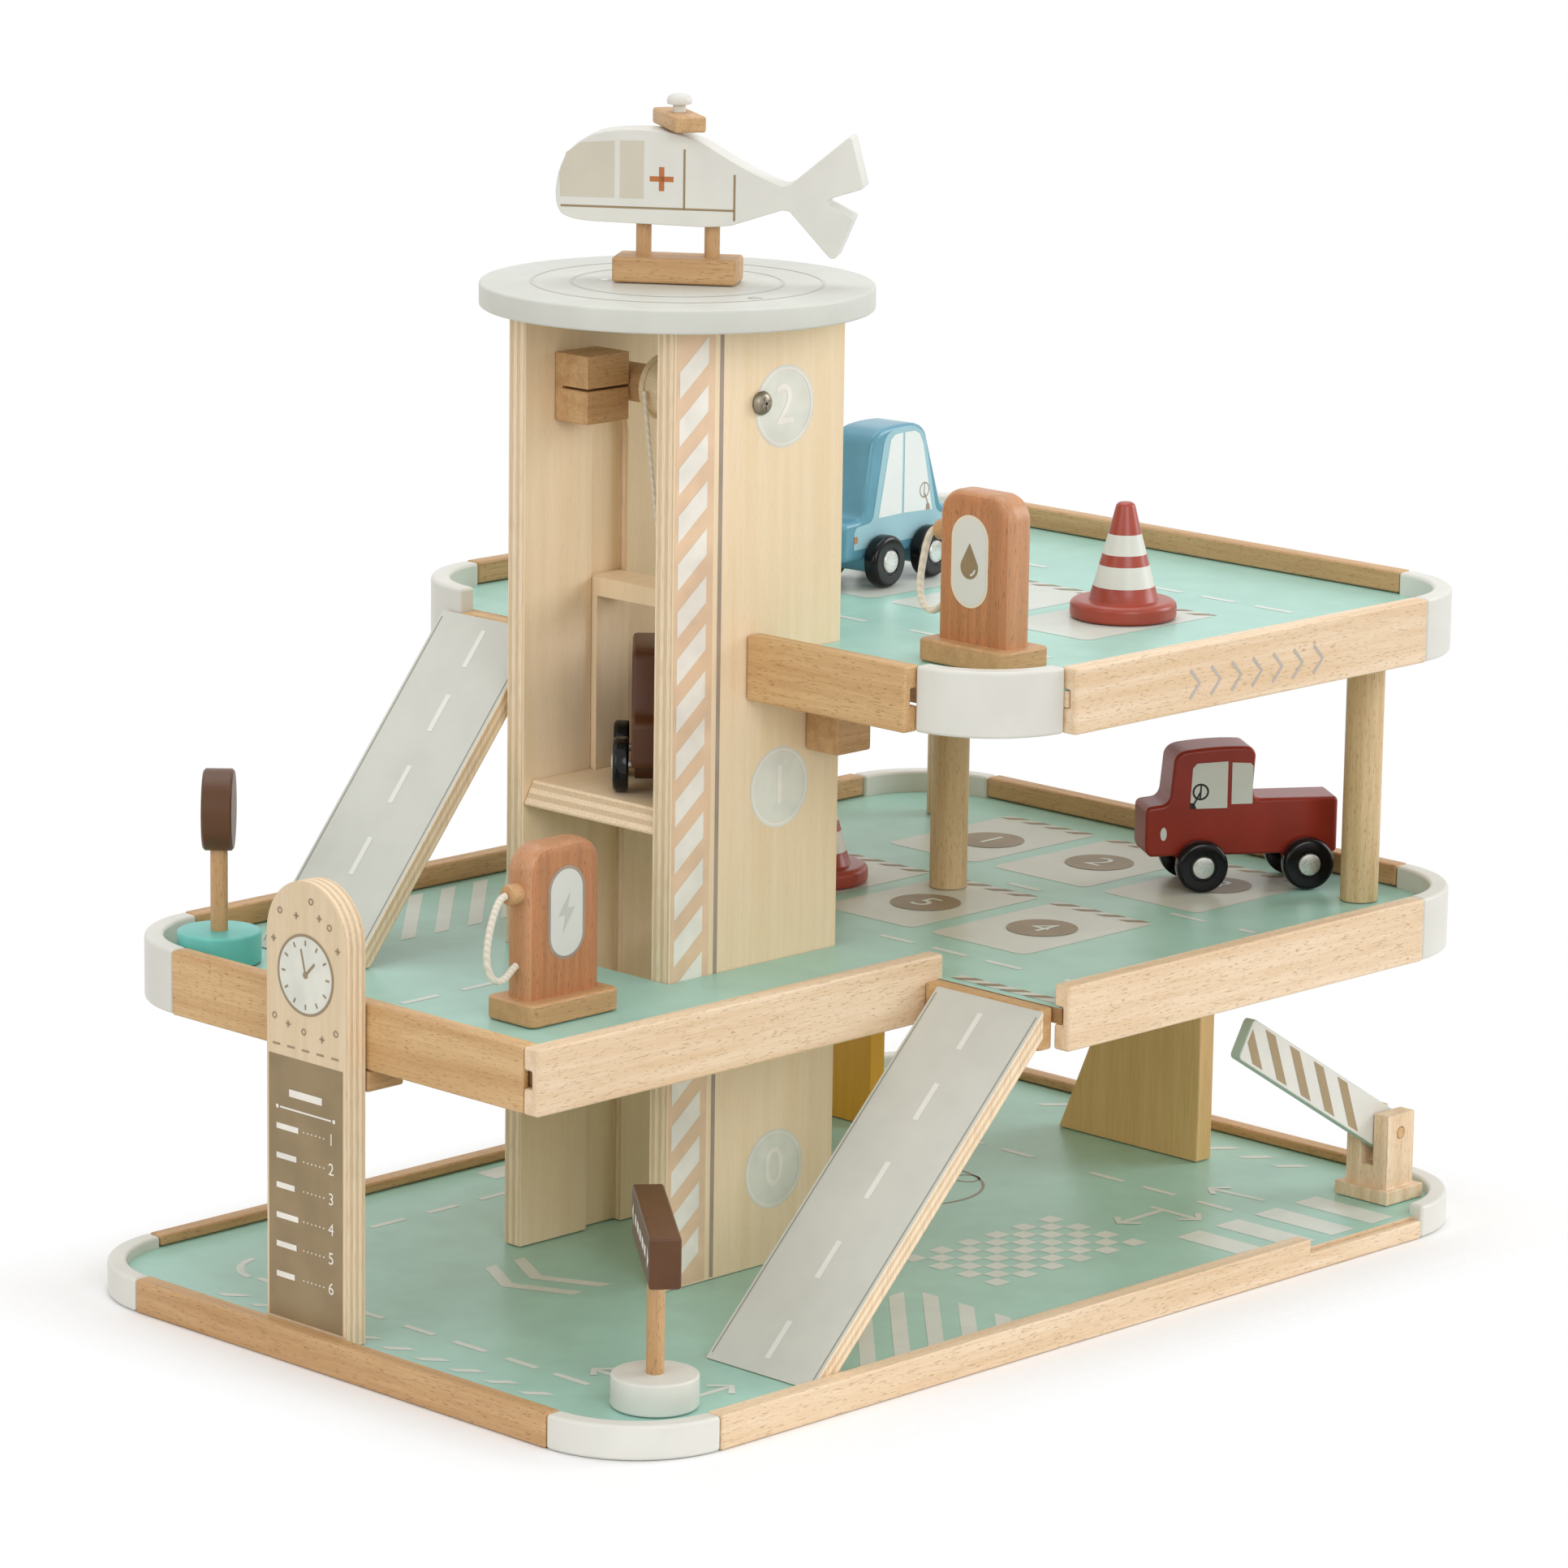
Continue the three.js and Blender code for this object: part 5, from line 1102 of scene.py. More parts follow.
BLUE_CAR = {
    "node": "blue_car", "body": "blue_car", "length": 74.0, "height": 63.0, "sill": 11.5, "spacing": 30.3,
    "shift": 0.0, "ends": ("rear", "front"), "look": "blue", "slot": "blue_paint",
    "place": lying(340, 209.5, UPPER_TOP + CLEARANCE, 6.6),
    "shares": [
        (0.03, 0), (0.0, 0.01, 0.0, 0.08), (0.0, 0.24), (0.0, 0.3, 0.04, 0.305), (0.13, 0.31),
        (0.165, 0.32, 0.17, 0.38), (0.235, 0.86), (0.26, 0.97, 0.36, 0.985), (0.46, 1.0, 0.58, 0.99),
        (0.7, 0.98, 0.73, 0.88), (0.86, 0.36), (0.87, 0.31, 0.9, 0.3), (0.95, 0.29),
        (1.0, 0.28, 1.0, 0.2), (1.0, 0.06), (1.0, 0.0, 0.96, 0)],
}
BROWN_CAR = {
    "node": "brown_car", "body": "brown_car", "length": 60.0, "height": 55.0, "sill": 11.5, "spacing": 30.3,
    "shift": 0.0, "ends": ("front", "rear"), "look": "brown", "slot": "brown_paint",
    "place": lying(181, 173.5, LIFT_FLOOR + CLEARANCE, 45),
    "shares": [
        (0.03, 0), (0.0, 0.01, 0.0, 0.08), (0.0, 0.34), (0.0, 0.4, 0.04, 0.41), (0.12, 0.43),
        (0.15, 0.44, 0.17, 0.5), (0.22, 0.88), (0.24, 0.98, 0.34, 0.985), (0.5, 1.0, 0.8, 0.985),
        (0.9, 0.97, 0.92, 0.9), (1.0, 0.34), (1.0, 0.06), (1.0, 0.0, 0.96, 0)],
}
CAR_HALF = 10.0
BOSS_RADIUS = 5.4
BOSS_HALF = 8.6
AXLE_RADIUS = 1.6
# A tyre's inner and outer side along the axle, and the radii of its edges there
WHEEL_SIDES = (11.0, 17.0)
TYRE_EDGES = (1.0, 1.8)
# Rim step and domed hub cap: radius and distance out from the tyre's outer side
HUB_STEPS = [(5.6, 0), (5.3, -0.5), (4.7, -0.5), (4.6, -0.1), (4.2, 0.35), (2.8, 0.55), (0, 0.6)]
# Steel shows inside this radius beyond this distance along the axle, and on the axle itself
HUB_CAP = (4.75, 16.45)
AXLE_STEEL = 1.7


def wheel_profile(sign):
    """Half a wheel set from its axle out: tyre with round shoulders, rim step and domed hub cap."""
    r, (inner, outer), (near, far) = WHEEL_RADIUS, WHEEL_SIDES, TYRE_EDGES
    points = [(AXLE_RADIUS, inner)] + arc(r - near, inner + near, near, -90, 0, 4)
    points += arc(r - far, outer - far, far, 0, 90, 6) + [(x, outer + out) for x, out in HUB_STEPS]
    return [(x, sign * y) for x, y in points]


def build_car(car):
    span = car["height"] - car["sill"]
    place = lambda s: (s[0] * car["length"] - car["length"] / 2 - car["shift"], car["sill"] + s[1] * span)
    bm = bmesh.new()
    prism(bm, share_outline(car["shares"], place), -CAR_HALF, CAR_HALF)
    bm.transform(STANDING)
    make_object(car["node"] + "_shell", bm, [car["look"]], car["place"], edge=settings()[1].block_edge,
                body=car["body"], nodes=(car["node"] + "_body",), segments=4)
    boss = [(0, -BOSS_HALF), (BOSS_RADIUS, -BOSS_HALF), (BOSS_RADIUS, BOSS_HALF), (0, BOSS_HALF)]
    for side, end in zip((-1, 1), car["ends"]):
        x = side * car["spacing"] / 2
        axle = Matrix.Translation((x, 0, WHEEL_RADIUS)) @ ACROSS
        bm = bmesh.new()
        lathe(bm, boss, 40, axle)
        make_object(f"{car['node']}_{end}_boss", bm, [car["look"]], car["place"], body=car["body"])
        bm = bmesh.new()
        lathe(bm, wheel_profile(-1)[::-1] + wheel_profile(1), 72, axle)
        for face in bm.faces:
            middle = face.calc_center_median()
            away = math.hypot(middle.x - x, middle.z - WHEEL_RADIUS)
            on_cap = away < HUB_CAP[0] and abs(middle.y) > HUB_CAP[1]
            face.material_index = 1 if on_cap or away < AXLE_STEEL else 0
        make_object(f"{car['node']}_{end}_wheel_set", bm, ["tyre", "steel"], car["place"],
                    body=f"{car['body']}_{end}_axle", nodes=(f"{car['node']}_{end}_wheels",))


class GARAGE_OT_cars(bpy.types.Operator):
    """Makes the three toy cars with their wheels"""

    bl_idname = "garage.cars"
    bl_label = "Cars"

    def execute(self, context):
        for car in (PICKUP, BLUE_CAR, BROWN_CAR):
            build_car(car)
        both_sides("pickup_print", "pickup", PICKUP["place"], CAR_HALF, pickup_print, "red_paint")
        both_sides("blue_car_print", "blue_car", BLUE_CAR["place"], CAR_HALF, blue_car_print, "blue_paint")
        return {"FINISHED"}


def pickup_print(sheet):
    """Side window, door window with a steering wheel and seat, and an oval lamp."""
    sheet.add("pane", [(-26.1, 33), (-10.9, 33), (-10.9, 51.9), (-23.6, 51.3), (-25.3, 49.3)])
    sheet.add("pane", [(-9.2, 34.5), (-0.6, 34.5), (-0.6, 49.8), (-1.7, 51), (-9.2, 51.4)])
    sheet.ring("ink", -21.9, 39.8, 3.4, 2.6, 2, 32)
    sheet.bar("ink", -21.7, 42.8, -22.1, 36.8, 0.7, 2)
    sheet.bar("ink", -22.1, 39.5, -25.0, 34.0, 0.7, 2)
    sheet.add("ink", [(-26.1, 33), (-23.4, 33), (-24.6, 35.4), (-26.1, 35.4)], 2)
    sheet.add("pane", [(-36.6 + 1.3 * a, 23.0 + 2.7 * b) for a, b in arc(0, 0, 1, 0, 345, 23)])


def blue_car_print(sheet):
    """Paler side with two windows, a steering wheel and seat, and an orange lamp."""
    sheet.add("side_blue", share_outline([
        (-30.5, 16), (-30.5, 22.5), (-30, 25, -27.6, 25.2), (-21.5, 25.6), (-18.6, 25.8, -17.8, 29),
        (-11.9, 56), (-10.9, 60, -6, 61.2), (1, 62.2, 6, 61.2), (14.6, 60.2, 16.2, 54), (22.8, 29),
        (23.6, 24.6, 27, 24), (31.5, 24), (33, 24, 33, 21), (33, 16), (-30.5, 16)], lambda point: point))
    sheet.add("pale_pane", [(-14.7, 27), (0.6, 27), (0.6, 59.4), (-4.6, 59.2), (-7.4, 57.4)], 2)
    sheet.add("pale_pane", [(1.9, 27), (20.9, 26), (14.3, 53.2), (11.8, 57.6), (8.5, 59.2),
                            (1.9, 59.4)], 2)
    sheet.ring("grey_line", 15.5, 34.5, 3.2, 2.7, 3, 32)
    sheet.bar("grey_line", 15.5, 37.4, 15.2, 31.8, 0.5, 3)
    sheet.bar("grey_line", 15.8, 33, 18, 28.4, 0.6, 3)
    sheet.add("grey_line", [(16.6, 26.3), (19.4, 26.2), (18.8, 28.6), (16.9, 28.8)], 3)
    sheet.add("orange_print", [(-30.4, 18.6), (-28.6, 18.6), (-27.9, 20), (-28.6, 21.4), (-30.4, 21.4)], 2)


# ---- Cones, signs, pumps and barrier

CONES = {"upper_cone": lying(351, 90, UPPER_TOP + CLEARANCE, 0),
         "middle_cone": lying(308, 211, MIDDLE_TOP + CLEARANCE, 0)}
# Radius and height where the cone's side leaves its foot and where it reaches its tip
CONE_START = (13.5, 7.0)
CONE_END = (3.6, 43.2)
CONE_STRIPES = (12.5, 20.7, 25.0, 32.8)
CONE_TOP = 45.0


def cone_radius(height):
    (r0, z0), (r1, z1) = CONE_START, CONE_END
    return r0 + (r1 - r0) * (height - z0) / (z1 - z0)


def cone_profile():
    foot = [(0, 0), (19.5, 0)] + arc(19.2, 1.5, 1.5, -90, 0, 4) + arc(18.2, 4.5, 2.5, 0, 90, 6)
    foot += [(13.8, 7.0), (13.5, 7.3)]
    side = [(cone_radius(height), height) for height in CONE_STRIPES]
    return foot + side + arc(1.7, 42.8, 2.2, 10, 90, 6) + [(0, CONE_TOP)]


class GARAGE_OT_cones(bpy.types.Operator):
    """Turns the two striped traffic cones"""

    bl_idname = "garage.cones"
    bl_label = "Cones"

    def execute(self, context):
        bands = list(zip(CONE_STRIPES + (CONE_TOP,), (0, 1, 0, 1, 0)))
        for name, place in CONES.items():
            bm = bmesh.new()
            lathe(bm, cone_profile(), 80, bands=bands)
            make_object(name + "_turning", bm, ["cone", "white"], place, body=name + "_body", nodes=(name,),
                        angle=40)
        return {"FINISHED"}


SIGNS = {"round_sign": lying(44.5, 270, MIDDLE_TOP + CLEARANCE, 45),
         "long_sign": lying(45, 34.6, GROUND_TOP + CLEARANCE, 50.5)}
SIGN_FOOT = [(0, 0), (15.2, 0)] + arc(15, 1, 1, -90, 0, 3) + arc(15, 11, 1, 0, 90, 4) + [(0, 12)]
POLE_RADIUS = 3.3
POLE_FOOT = 11
HEAD_HALF = 5.75
ROUND_HEAD_RADIUS = 15.5
ROUND_HEAD_EASE = 0.8
ROUND_HEAD_MIDDLE = 58.5
LONG_HEAD = rounded_box(-35, 35, 53, 72, 1.2, 4)


def sign_stand(name, foot_look, head):
    """A sign's foot and its pole, which ends inside the head."""
    bm = bmesh.new()
    lathe(bm, SIGN_FOOT, 80)
    make_object(name + "_foot", bm, [foot_look], SIGNS[name], body=name + "_body",
                nodes=(name,))
    bm = bmesh.new()
    lathe(bm, [(0, POLE_FOOT), (POLE_RADIUS, POLE_FOOT), (POLE_RADIUS, head), (0, head)], 40)
    make_object(name + "_pole", bm, ["rear_z"], SIGNS[name], body=name + "_body")


class GARAGE_OT_signs(bpy.types.Operator):
    """Makes the round sign and the long sign"""

    bl_idname = "garage.signs"
    bl_label = "Signs"

    def execute(self, context):
        sign_stand("round_sign", "teal", 50)
        bm = bmesh.new()
        r, half, e = ROUND_HEAD_RADIUS, HEAD_HALF, ROUND_HEAD_EASE
        lathe(bm, [(0, -half), (r - e, -half), (r, e - half), (r, half - e), (r - e, half), (0, half)], 96,
              Matrix.Translation((0, 0, ROUND_HEAD_MIDDLE)) @ ACROSS)
        make_object("round_sign_head", bm, ["sign"], SIGNS["round_sign"], body="round_sign_body")
        sign_stand("long_sign", "white", 60)
        bm = bmesh.new()
        prism(bm, LONG_HEAD, -HEAD_HALF, HEAD_HALF)
        bm.transform(STANDING)
        make_object("long_sign_head", bm, ["sign"], SIGNS["long_sign"], edge=settings()[1].rail_edge,
                    body="long_sign_body")
        both_sides("long_sign_print", "long_sign_body", SIGNS["long_sign"], HEAD_HALF, long_sign_print,
                   "brown_paint")
        return {"FINISHED"}


def long_sign_print(sheet):
    """A dashed bar between two arrowheads."""
    for side in (-1, 1):
        sheet.add("band_bar", [(side * 27, 58.6), (side * 27, 67.4), (side * 32.4, 63)])
    for x in (-18.5, -9.3, 0, 9.3, 18.5):
        sheet.rect("band_bar", x - 3.1, 61, x + 3.1, 65)


PUMP_PLINTH = rounded_box(-22.25, 22.25, -12.5, 12.5, 3.0, 6)
PUMP_THICKNESS = 13.5
PUMP_SHOULDER = 10.0
PUMP_TOP = PUMP_BASE + 57.0
# The housing starts this far down in its plinth
PUMP_SUNK = 6
KNOB_PROFILE = [(0, -1), (3.9, -1), (3.9, 4.6), (3.5, 5.3), (0, 5.5)]
KNOB_MIDDLE = PUMP_BASE + 39.5
LABEL_MIDDLE = PUMP_BASE + 30.8


class GARAGE_OT_pumps(bpy.types.Operator):
    """Makes the two fuel pumps"""

    bl_idname = "garage.pumps"
    bl_label = "Fuel pumps"

    def execute(self, context):
        sizes = settings()[1]
        half, top, r = PUMP_HALF, PUMP_TOP, PUMP_SHOULDER
        housing = [(-half, PUMP_BASE - PUMP_SUNK), (half, PUMP_BASE - PUMP_SUNK)]
        housing += arc(half - r, top - r, r, 0, 90, 12) + arc(-half + r, top - r, r, 90, 180, 12)
        knob = Matrix.Translation((-half, 0, KNOB_MIDDLE)) @ Matrix.Rotation(-math.pi / 2, 4, "Y")
        for name, place in PUMPS.items():
            body = name + "_body"
            bm = bmesh.new()
            prism(bm, PUMP_PLINTH, 0, PUMP_BASE)
            make_object(name + "_plinth", bm, ["plinth"], place, edge=sizes.rail_edge, body=body,
                        nodes=(name,))
            bm = bmesh.new()
            prism(bm, housing, -PUMP_THICKNESS / 2, PUMP_THICKNESS / 2, (0, 0, 1))
            bm.transform(STANDING)
            # The housing's rim has a painted highlight
            make_object(name + "_housing", bm, ["pump", "pump_rim_highlight"], place, edge=sizes.pump_edge, body=body,
                        segments=5)
            bm = bmesh.new()
            lathe(bm, KNOB_PROFILE, 40, knob)
            make_object(name + "_knob", bm, ["plinth"], place, body=body)
            both_sides(name + "_label", body, place, PUMP_THICKNESS / 2, PUMP_LABELS[name], "stained_beech")
        return {"FINISHED"}


def stadium(x, z, width, height):
    """An upright label's outline, with a half circle at each end."""
    r = width / 2
    return arc(x, z + height / 2 - r, r, 0, 180, 24) + arc(x, z - height / 2 + r, r, 180, 360, 24)


def bolt_label(sheet):
    z = LABEL_MIDDLE
    sheet.add("grey_line", stadium(0, z, 18.5, 35))
    sheet.add("label", stadium(0, z, 16.1, 32.6), 2)
    sheet.add("faint_grey", [(1.8, z + 7.5), (-4, z - 1), (-0.6, z - 1), (-1.8, z - 7.5), (4, z + 1.6),
                             (0.5, z + 1.6)], 3)


def drop_label(sheet):
    x, z = -1.5, LABEL_MIDDLE
    sheet.add("cream_line", stadium(x, z, 18.5, 35))
    sheet.add("label", stadium(x, z, 16.3, 32.8), 2)
    drop = arc(x, z - 2.2, 4.4, 150, 390, 20)
    sheet.add("board_print", drop + [(x, z + 7)], 3)
    sheet.path("label", arc(x, z - 2.2, 2.9, 280, 350, 6), 0.8, 4)


PUMP_LABELS = {"middle_pump": bolt_label, "upper_pump": drop_label}

BARRIER = lying(448.2, 32.1, GROUND_TOP + CLEARANCE, 0)
PIVOT_HEIGHT = 27.6
ARM_TURN = 31.0
ARM_OUTLINE = rounded_box(-102, 7.5, -8.5, 8.5, 2.0, 4)
ARM_HALF = 2.5
PIN_PROFILE = [(0, -10.4), (2.0, -10.4), (2.2, -10.2), (2.2, 10.2), (2.0, 10.4), (0, 10.4)]


class GARAGE_OT_barrier(bpy.types.Operator):
    """Finishes the barrier's post and makes its arm"""

    bl_idname = "garage.barrier"
    bl_label = "Barrier"

    def execute(self, context):
        sizes = settings()[1]
        dressed("barrier_post", ["beech_post"], sizes.rail_edge, "barrier")
        place = (BARRIER @ Matrix.Translation((0, 0, PIVOT_HEIGHT))
                 @ Matrix.Rotation(math.radians(ARM_TURN), 4, "Y"))
        bm = bmesh.new()
        prism(bm, ARM_OUTLINE, -ARM_HALF, ARM_HALF, (0, 0, 1))
        bm.transform(STANDING)
        make_object("barrier_arm_board", bm, ["white", "arm_rim"], place, edge=sizes.ply_edge, body="arm",
                    nodes=("barrier_arm",))
        bm = bmesh.new()
        lathe(bm, PIN_PROFILE, 32, ACROSS)
        make_object("barrier_pin", bm, ["beech_y"], place, body="arm")
        both_sides("barrier_stripes", "arm", place, ARM_HALF, arm_stripes, "white_paint")
        return {"FINISHED"}


def arm_stripes(sheet):
    """Slanted stripes, the first of which the arm's end cuts off."""
    sheet.add("arm_stripe", [(-100.5, 4.61), (-100.5, -1.13), (-93, -7.2), (-85.9, -7.2)])
    for x in (-94.9, -77.4, -59.9, -42.4):
        sheet.add("arm_stripe", [(x + 1.6, 7.2), (x + 19.4, -7.2), (x + 26.5, -7.2), (x + 8.7, 7.2)])


# ---- Helicopter

HELICOPTER_SHARES = [
    (0.02, 0.3), (-0.005, 0.38, 0.005, 0.55), (0.02, 0.85, 0.13, 0.95), (0.2, 1.0, 0.31, 0.99),
    (0.42, 0.98, 0.5, 0.87), (0.62, 0.68, 0.735, 0.575), (0.755, 0.57, 0.775, 0.61),
    (0.945, 0.97), (0.955, 0.985, 0.962, 0.965), (1.0, 0.59), (1.0, 0.565, 0.985, 0.558),
    (0.895, 0.485), (0.872, 0.44, 0.9, 0.42), (0.96, 0.345), (0.972, 0.33, 0.965, 0.31),
    (0.915, 0.01), (0.905, -0.005, 0.893, 0.01), (0.765, 0.365), (0.755, 0.38, 0.735, 0.375),
    (0.58, 0.245), (0.53, 0.22, 0.47, 0.222), (0.13, 0.24), (0.05, 0.245, 0.02, 0.3),
]
# How far the helicopter and its rotor are turned, in degrees
HELICOPTER_TURN = -55
ROTOR_TURN = -65
HELICOPTER = lying(TOWER_CENTRE, TOWER_MIDDLE, HELIPAD_BOTTOM + HELIPAD_THICKNESS + CLEARANCE,
                   HELICOPTER_TURN)
ROTOR = HELICOPTER @ Matrix.Rotation(math.radians(ROTOR_TURN), 4, "Z")
HELICOPTER_LENGTH = 116.5
HELICOPTER_HEIGHT = 46.4
HELICOPTER_HALF = 7.0
# Of the outline's box: where the rotor's axis is, and the belly's and the roof's heights
AXIS_SHARE = 0.3925
BELLY_SHARE = 0.232
ROOF_SHARE = 0.985
BODY_BOTTOM = 22.0 - BELLY_SHARE * HELICOPTER_HEIGHT
BODY_TOP = BODY_BOTTOM + ROOF_SHARE * HELICOPTER_HEIGHT
STAND_FOOT = rounded_box(-23.5, 23.5, -9.5, 9.5, 1.5, 4)
STAND_HEIGHT = 9.6
STRUT_PROFILE = [(0, 9), (2.9, 9), (2.9, 25.5), (0, 25.5)]
STRUTS = {"front": -13, "rear": 13}
ROTOR_BAR = rounded_box(-17, 17, -6, 6, 1.0, 3)
ROTOR_THICKNESS = 6
ROTOR_LIFT = CLEARANCE * 2
PEG_RADIUS = 2.4
PEG_FOOT = BODY_TOP - 9
# From the rotor's top: the head of the peg
PEG_NECK = 2.6
PEG_HEAD = [(4.5, 0.4), (4.7, 1.1), (4.7, 2.0), (4.2, 3.2), (3.0, 4.0), (0, 4.2)]


def helicopter_point(share):
    return ((share[0] - AXIS_SHARE) * HELICOPTER_LENGTH, BODY_BOTTOM + share[1] * HELICOPTER_HEIGHT)


class GARAGE_OT_helicopter(bpy.types.Operator):
    """Makes the helicopter, its stand and its rotor"""

    bl_idname = "garage.helicopter"
    bl_label = "Helicopter"

    def execute(self, context):
        edge = settings()[1].rail_edge
        bm = bmesh.new()
        prism(bm, share_outline(HELICOPTER_SHARES, helicopter_point), -HELICOPTER_HALF, HELICOPTER_HALF)
        bm.transform(STANDING)
        make_object("helicopter_shell", bm, ["white"], HELICOPTER, edge=edge, body="helicopter",
                    nodes=("helicopter_body",))
        bm = bmesh.new()
        prism(bm, STAND_FOOT, 0, STAND_HEIGHT)
        make_object("helicopter_foot", bm, ["helicopter_beech"], HELICOPTER, edge=edge, body="helicopter",
                    nodes=("helicopter_stand",))
        for end, x in STRUTS.items():
            bm = bmesh.new()
            lathe(bm, STRUT_PROFILE, 32, Matrix.Translation((x, 0, 0)))
            make_object(f"helicopter_strut_{end}", bm, ["rear_z"], HELICOPTER, body="helicopter")
        low = BODY_TOP + ROTOR_LIFT
        high = low + ROTOR_THICKNESS
        bm = bmesh.new()
        prism(bm, ROTOR_BAR, low, high)
        make_object("rotor_bar", bm, ["rotor_beech"], ROTOR, edge=edge, body="helicopter_rotor",
                    nodes=("rotor",))
        neck = high + PEG_NECK
        bm = bmesh.new()
        lathe(bm, [(0, PEG_FOOT), (PEG_RADIUS, PEG_FOOT), (PEG_RADIUS, neck)]
              + [(x, neck + up) for x, up in PEG_HEAD], 48)
        make_object("rotor_peg", bm, ["peg"], ROTOR, body="helicopter_rotor")
        both_sides("helicopter_print", "helicopter", HELICOPTER, HELICOPTER_HALF, helicopter_print,
                   "white_paint")
        return {"FINISHED"}


def helicopter_print(sheet):
    """Cockpit window, door window, a plain cross and the lines of the panels."""
    sheet.add("beige_pane", [(-23.2, 31.5), (-23.2, 52.8), (-36, 51.8), (-41.5, 48), (-44, 40),
                             (-43.6, 31.5)])
    sheet.add("beige_pane", [(-21, 31.5), (-12.1, 31.5), (-12, 53.1), (-21, 52.9)])
    sheet.rect("copper_print", -9.7, 38, -0.7, 40)
    sheet.rect("copper_print", -6.2, 34.5, -4.2, 43.5)
    sheet.rect("board_print", 3.0, 28, 3.8, 50.4)
    sheet.rect("board_print", 22.0, 24.2, 22.8, 41.5)
    sheet.rect("board_print", -43.5, 27.6, 22.4, 28.4)


# ---- Prints

class GARAGE_OT_prints(bpy.types.Operator):
    """Prints the lanes, bays, numerals and signs"""

    bl_idname = "garage.prints"
    bl_label = "Prints"

    def execute(self, context):
        ground_prints()
        middle_prints()
        upper_prints()
        tower_prints()
        board_prints()
        rail_prints()
        return {"FINISHED"}


LANE_HALF = 1.5
ARROW_WIDTH = 2.7
BAY_RADIUS = 4
BAY_STRIPES = 5.7
# Slanted stripes along an edge: distance apart, thickness and how far they slope
HAZARD_PITCH, HAZARD_THICK, HAZARD_SLOPE = 12, 5, 7
KERB_PITCH, KERB_THICK, KERB_SLOPE = 18.3, 5.0, 8.0


def deck_sheet(top):
    """A sheet on a deck, in millimetres from the base's left and front edges."""
    return Sheet((0, 0, top), (1, 0, 0), (0, 1, 0))


def wall_sheet(front):
    """A sheet that faces the front, in millimetres from the base's left edge and its foot."""
    return Sheet((0, front, 0), (1, 0, 0), (0, 0, 1))


def lanes(sheet, spots):
    for x, y0, y1 in spots:
        sheet.rect("marking", x - LANE_HALF, y0, x + LANE_HALF, y1)


def bay(sheet, x0, x1, y0, y1):
    """A parking bay with slanted stripes along its right side."""
    sheet.add("bay", rounded_box(x0, x1, y0, y1, BAY_RADIUS))
    hazard(sheet, x1 - BAY_STRIPES, x1, y1, y0)


def hazard(sheet, x0, x1, start, end):
    while start - HAZARD_PITCH > end - 0.5:
        sheet.add("taupe", [(x0, start), (x0, start - HAZARD_THICK),
                            (x1, start - HAZARD_SLOPE - HAZARD_THICK), (x1, start - HAZARD_SLOPE)], 2)
        start -= HAZARD_PITCH


def hatch(sheet, starts, width, x1, y0, y1):
    """Bars at 45 degrees from the front of a box, cut off at its right side and at its back."""
    rise = y1 - y0
    for x in starts:
        points = [(x, y0), (x + width, y0)]
        points.append((x + width + rise, y1) if x + width + rise <= x1 else (x1, y0 + x1 - x - width))
        if x + rise < x1 < x + width + rise:
            points.append((x1, y1))
        points.append((x + rise, y1) if x + rise < x1 else (x1, y0 + x1 - x))
        sheet.add("marking", points)


def arrow(sheet, x0, y0, x1, y1, head):
    """An arrow to the second point, with a head of two strokes."""
    run = Vector((x1 - x0, y1 - y0)).normalized()
    side = Vector((-run.y, run.x))
    tip = Vector((x1, y1))
    strokes = [tuple(tip + (side - run) * head), tuple(tip), tuple(tip - (side + run) * head)]
    sheet.bar("marking", x0, y0, x1, y1, ARROW_WIDTH)
    sheet.path("marking", strokes, ARROW_WIDTH, 2)


def kerb(sheet, x0, x1, y0, y1):
    y = y0
    while y < y1:
        low = y - KERB_SLOPE
        sheet.add("marking", [(x0, y), (x1, low), (x1, low + KERB_THICK), (x0, y + KERB_THICK)])
        y += KERB_PITCH


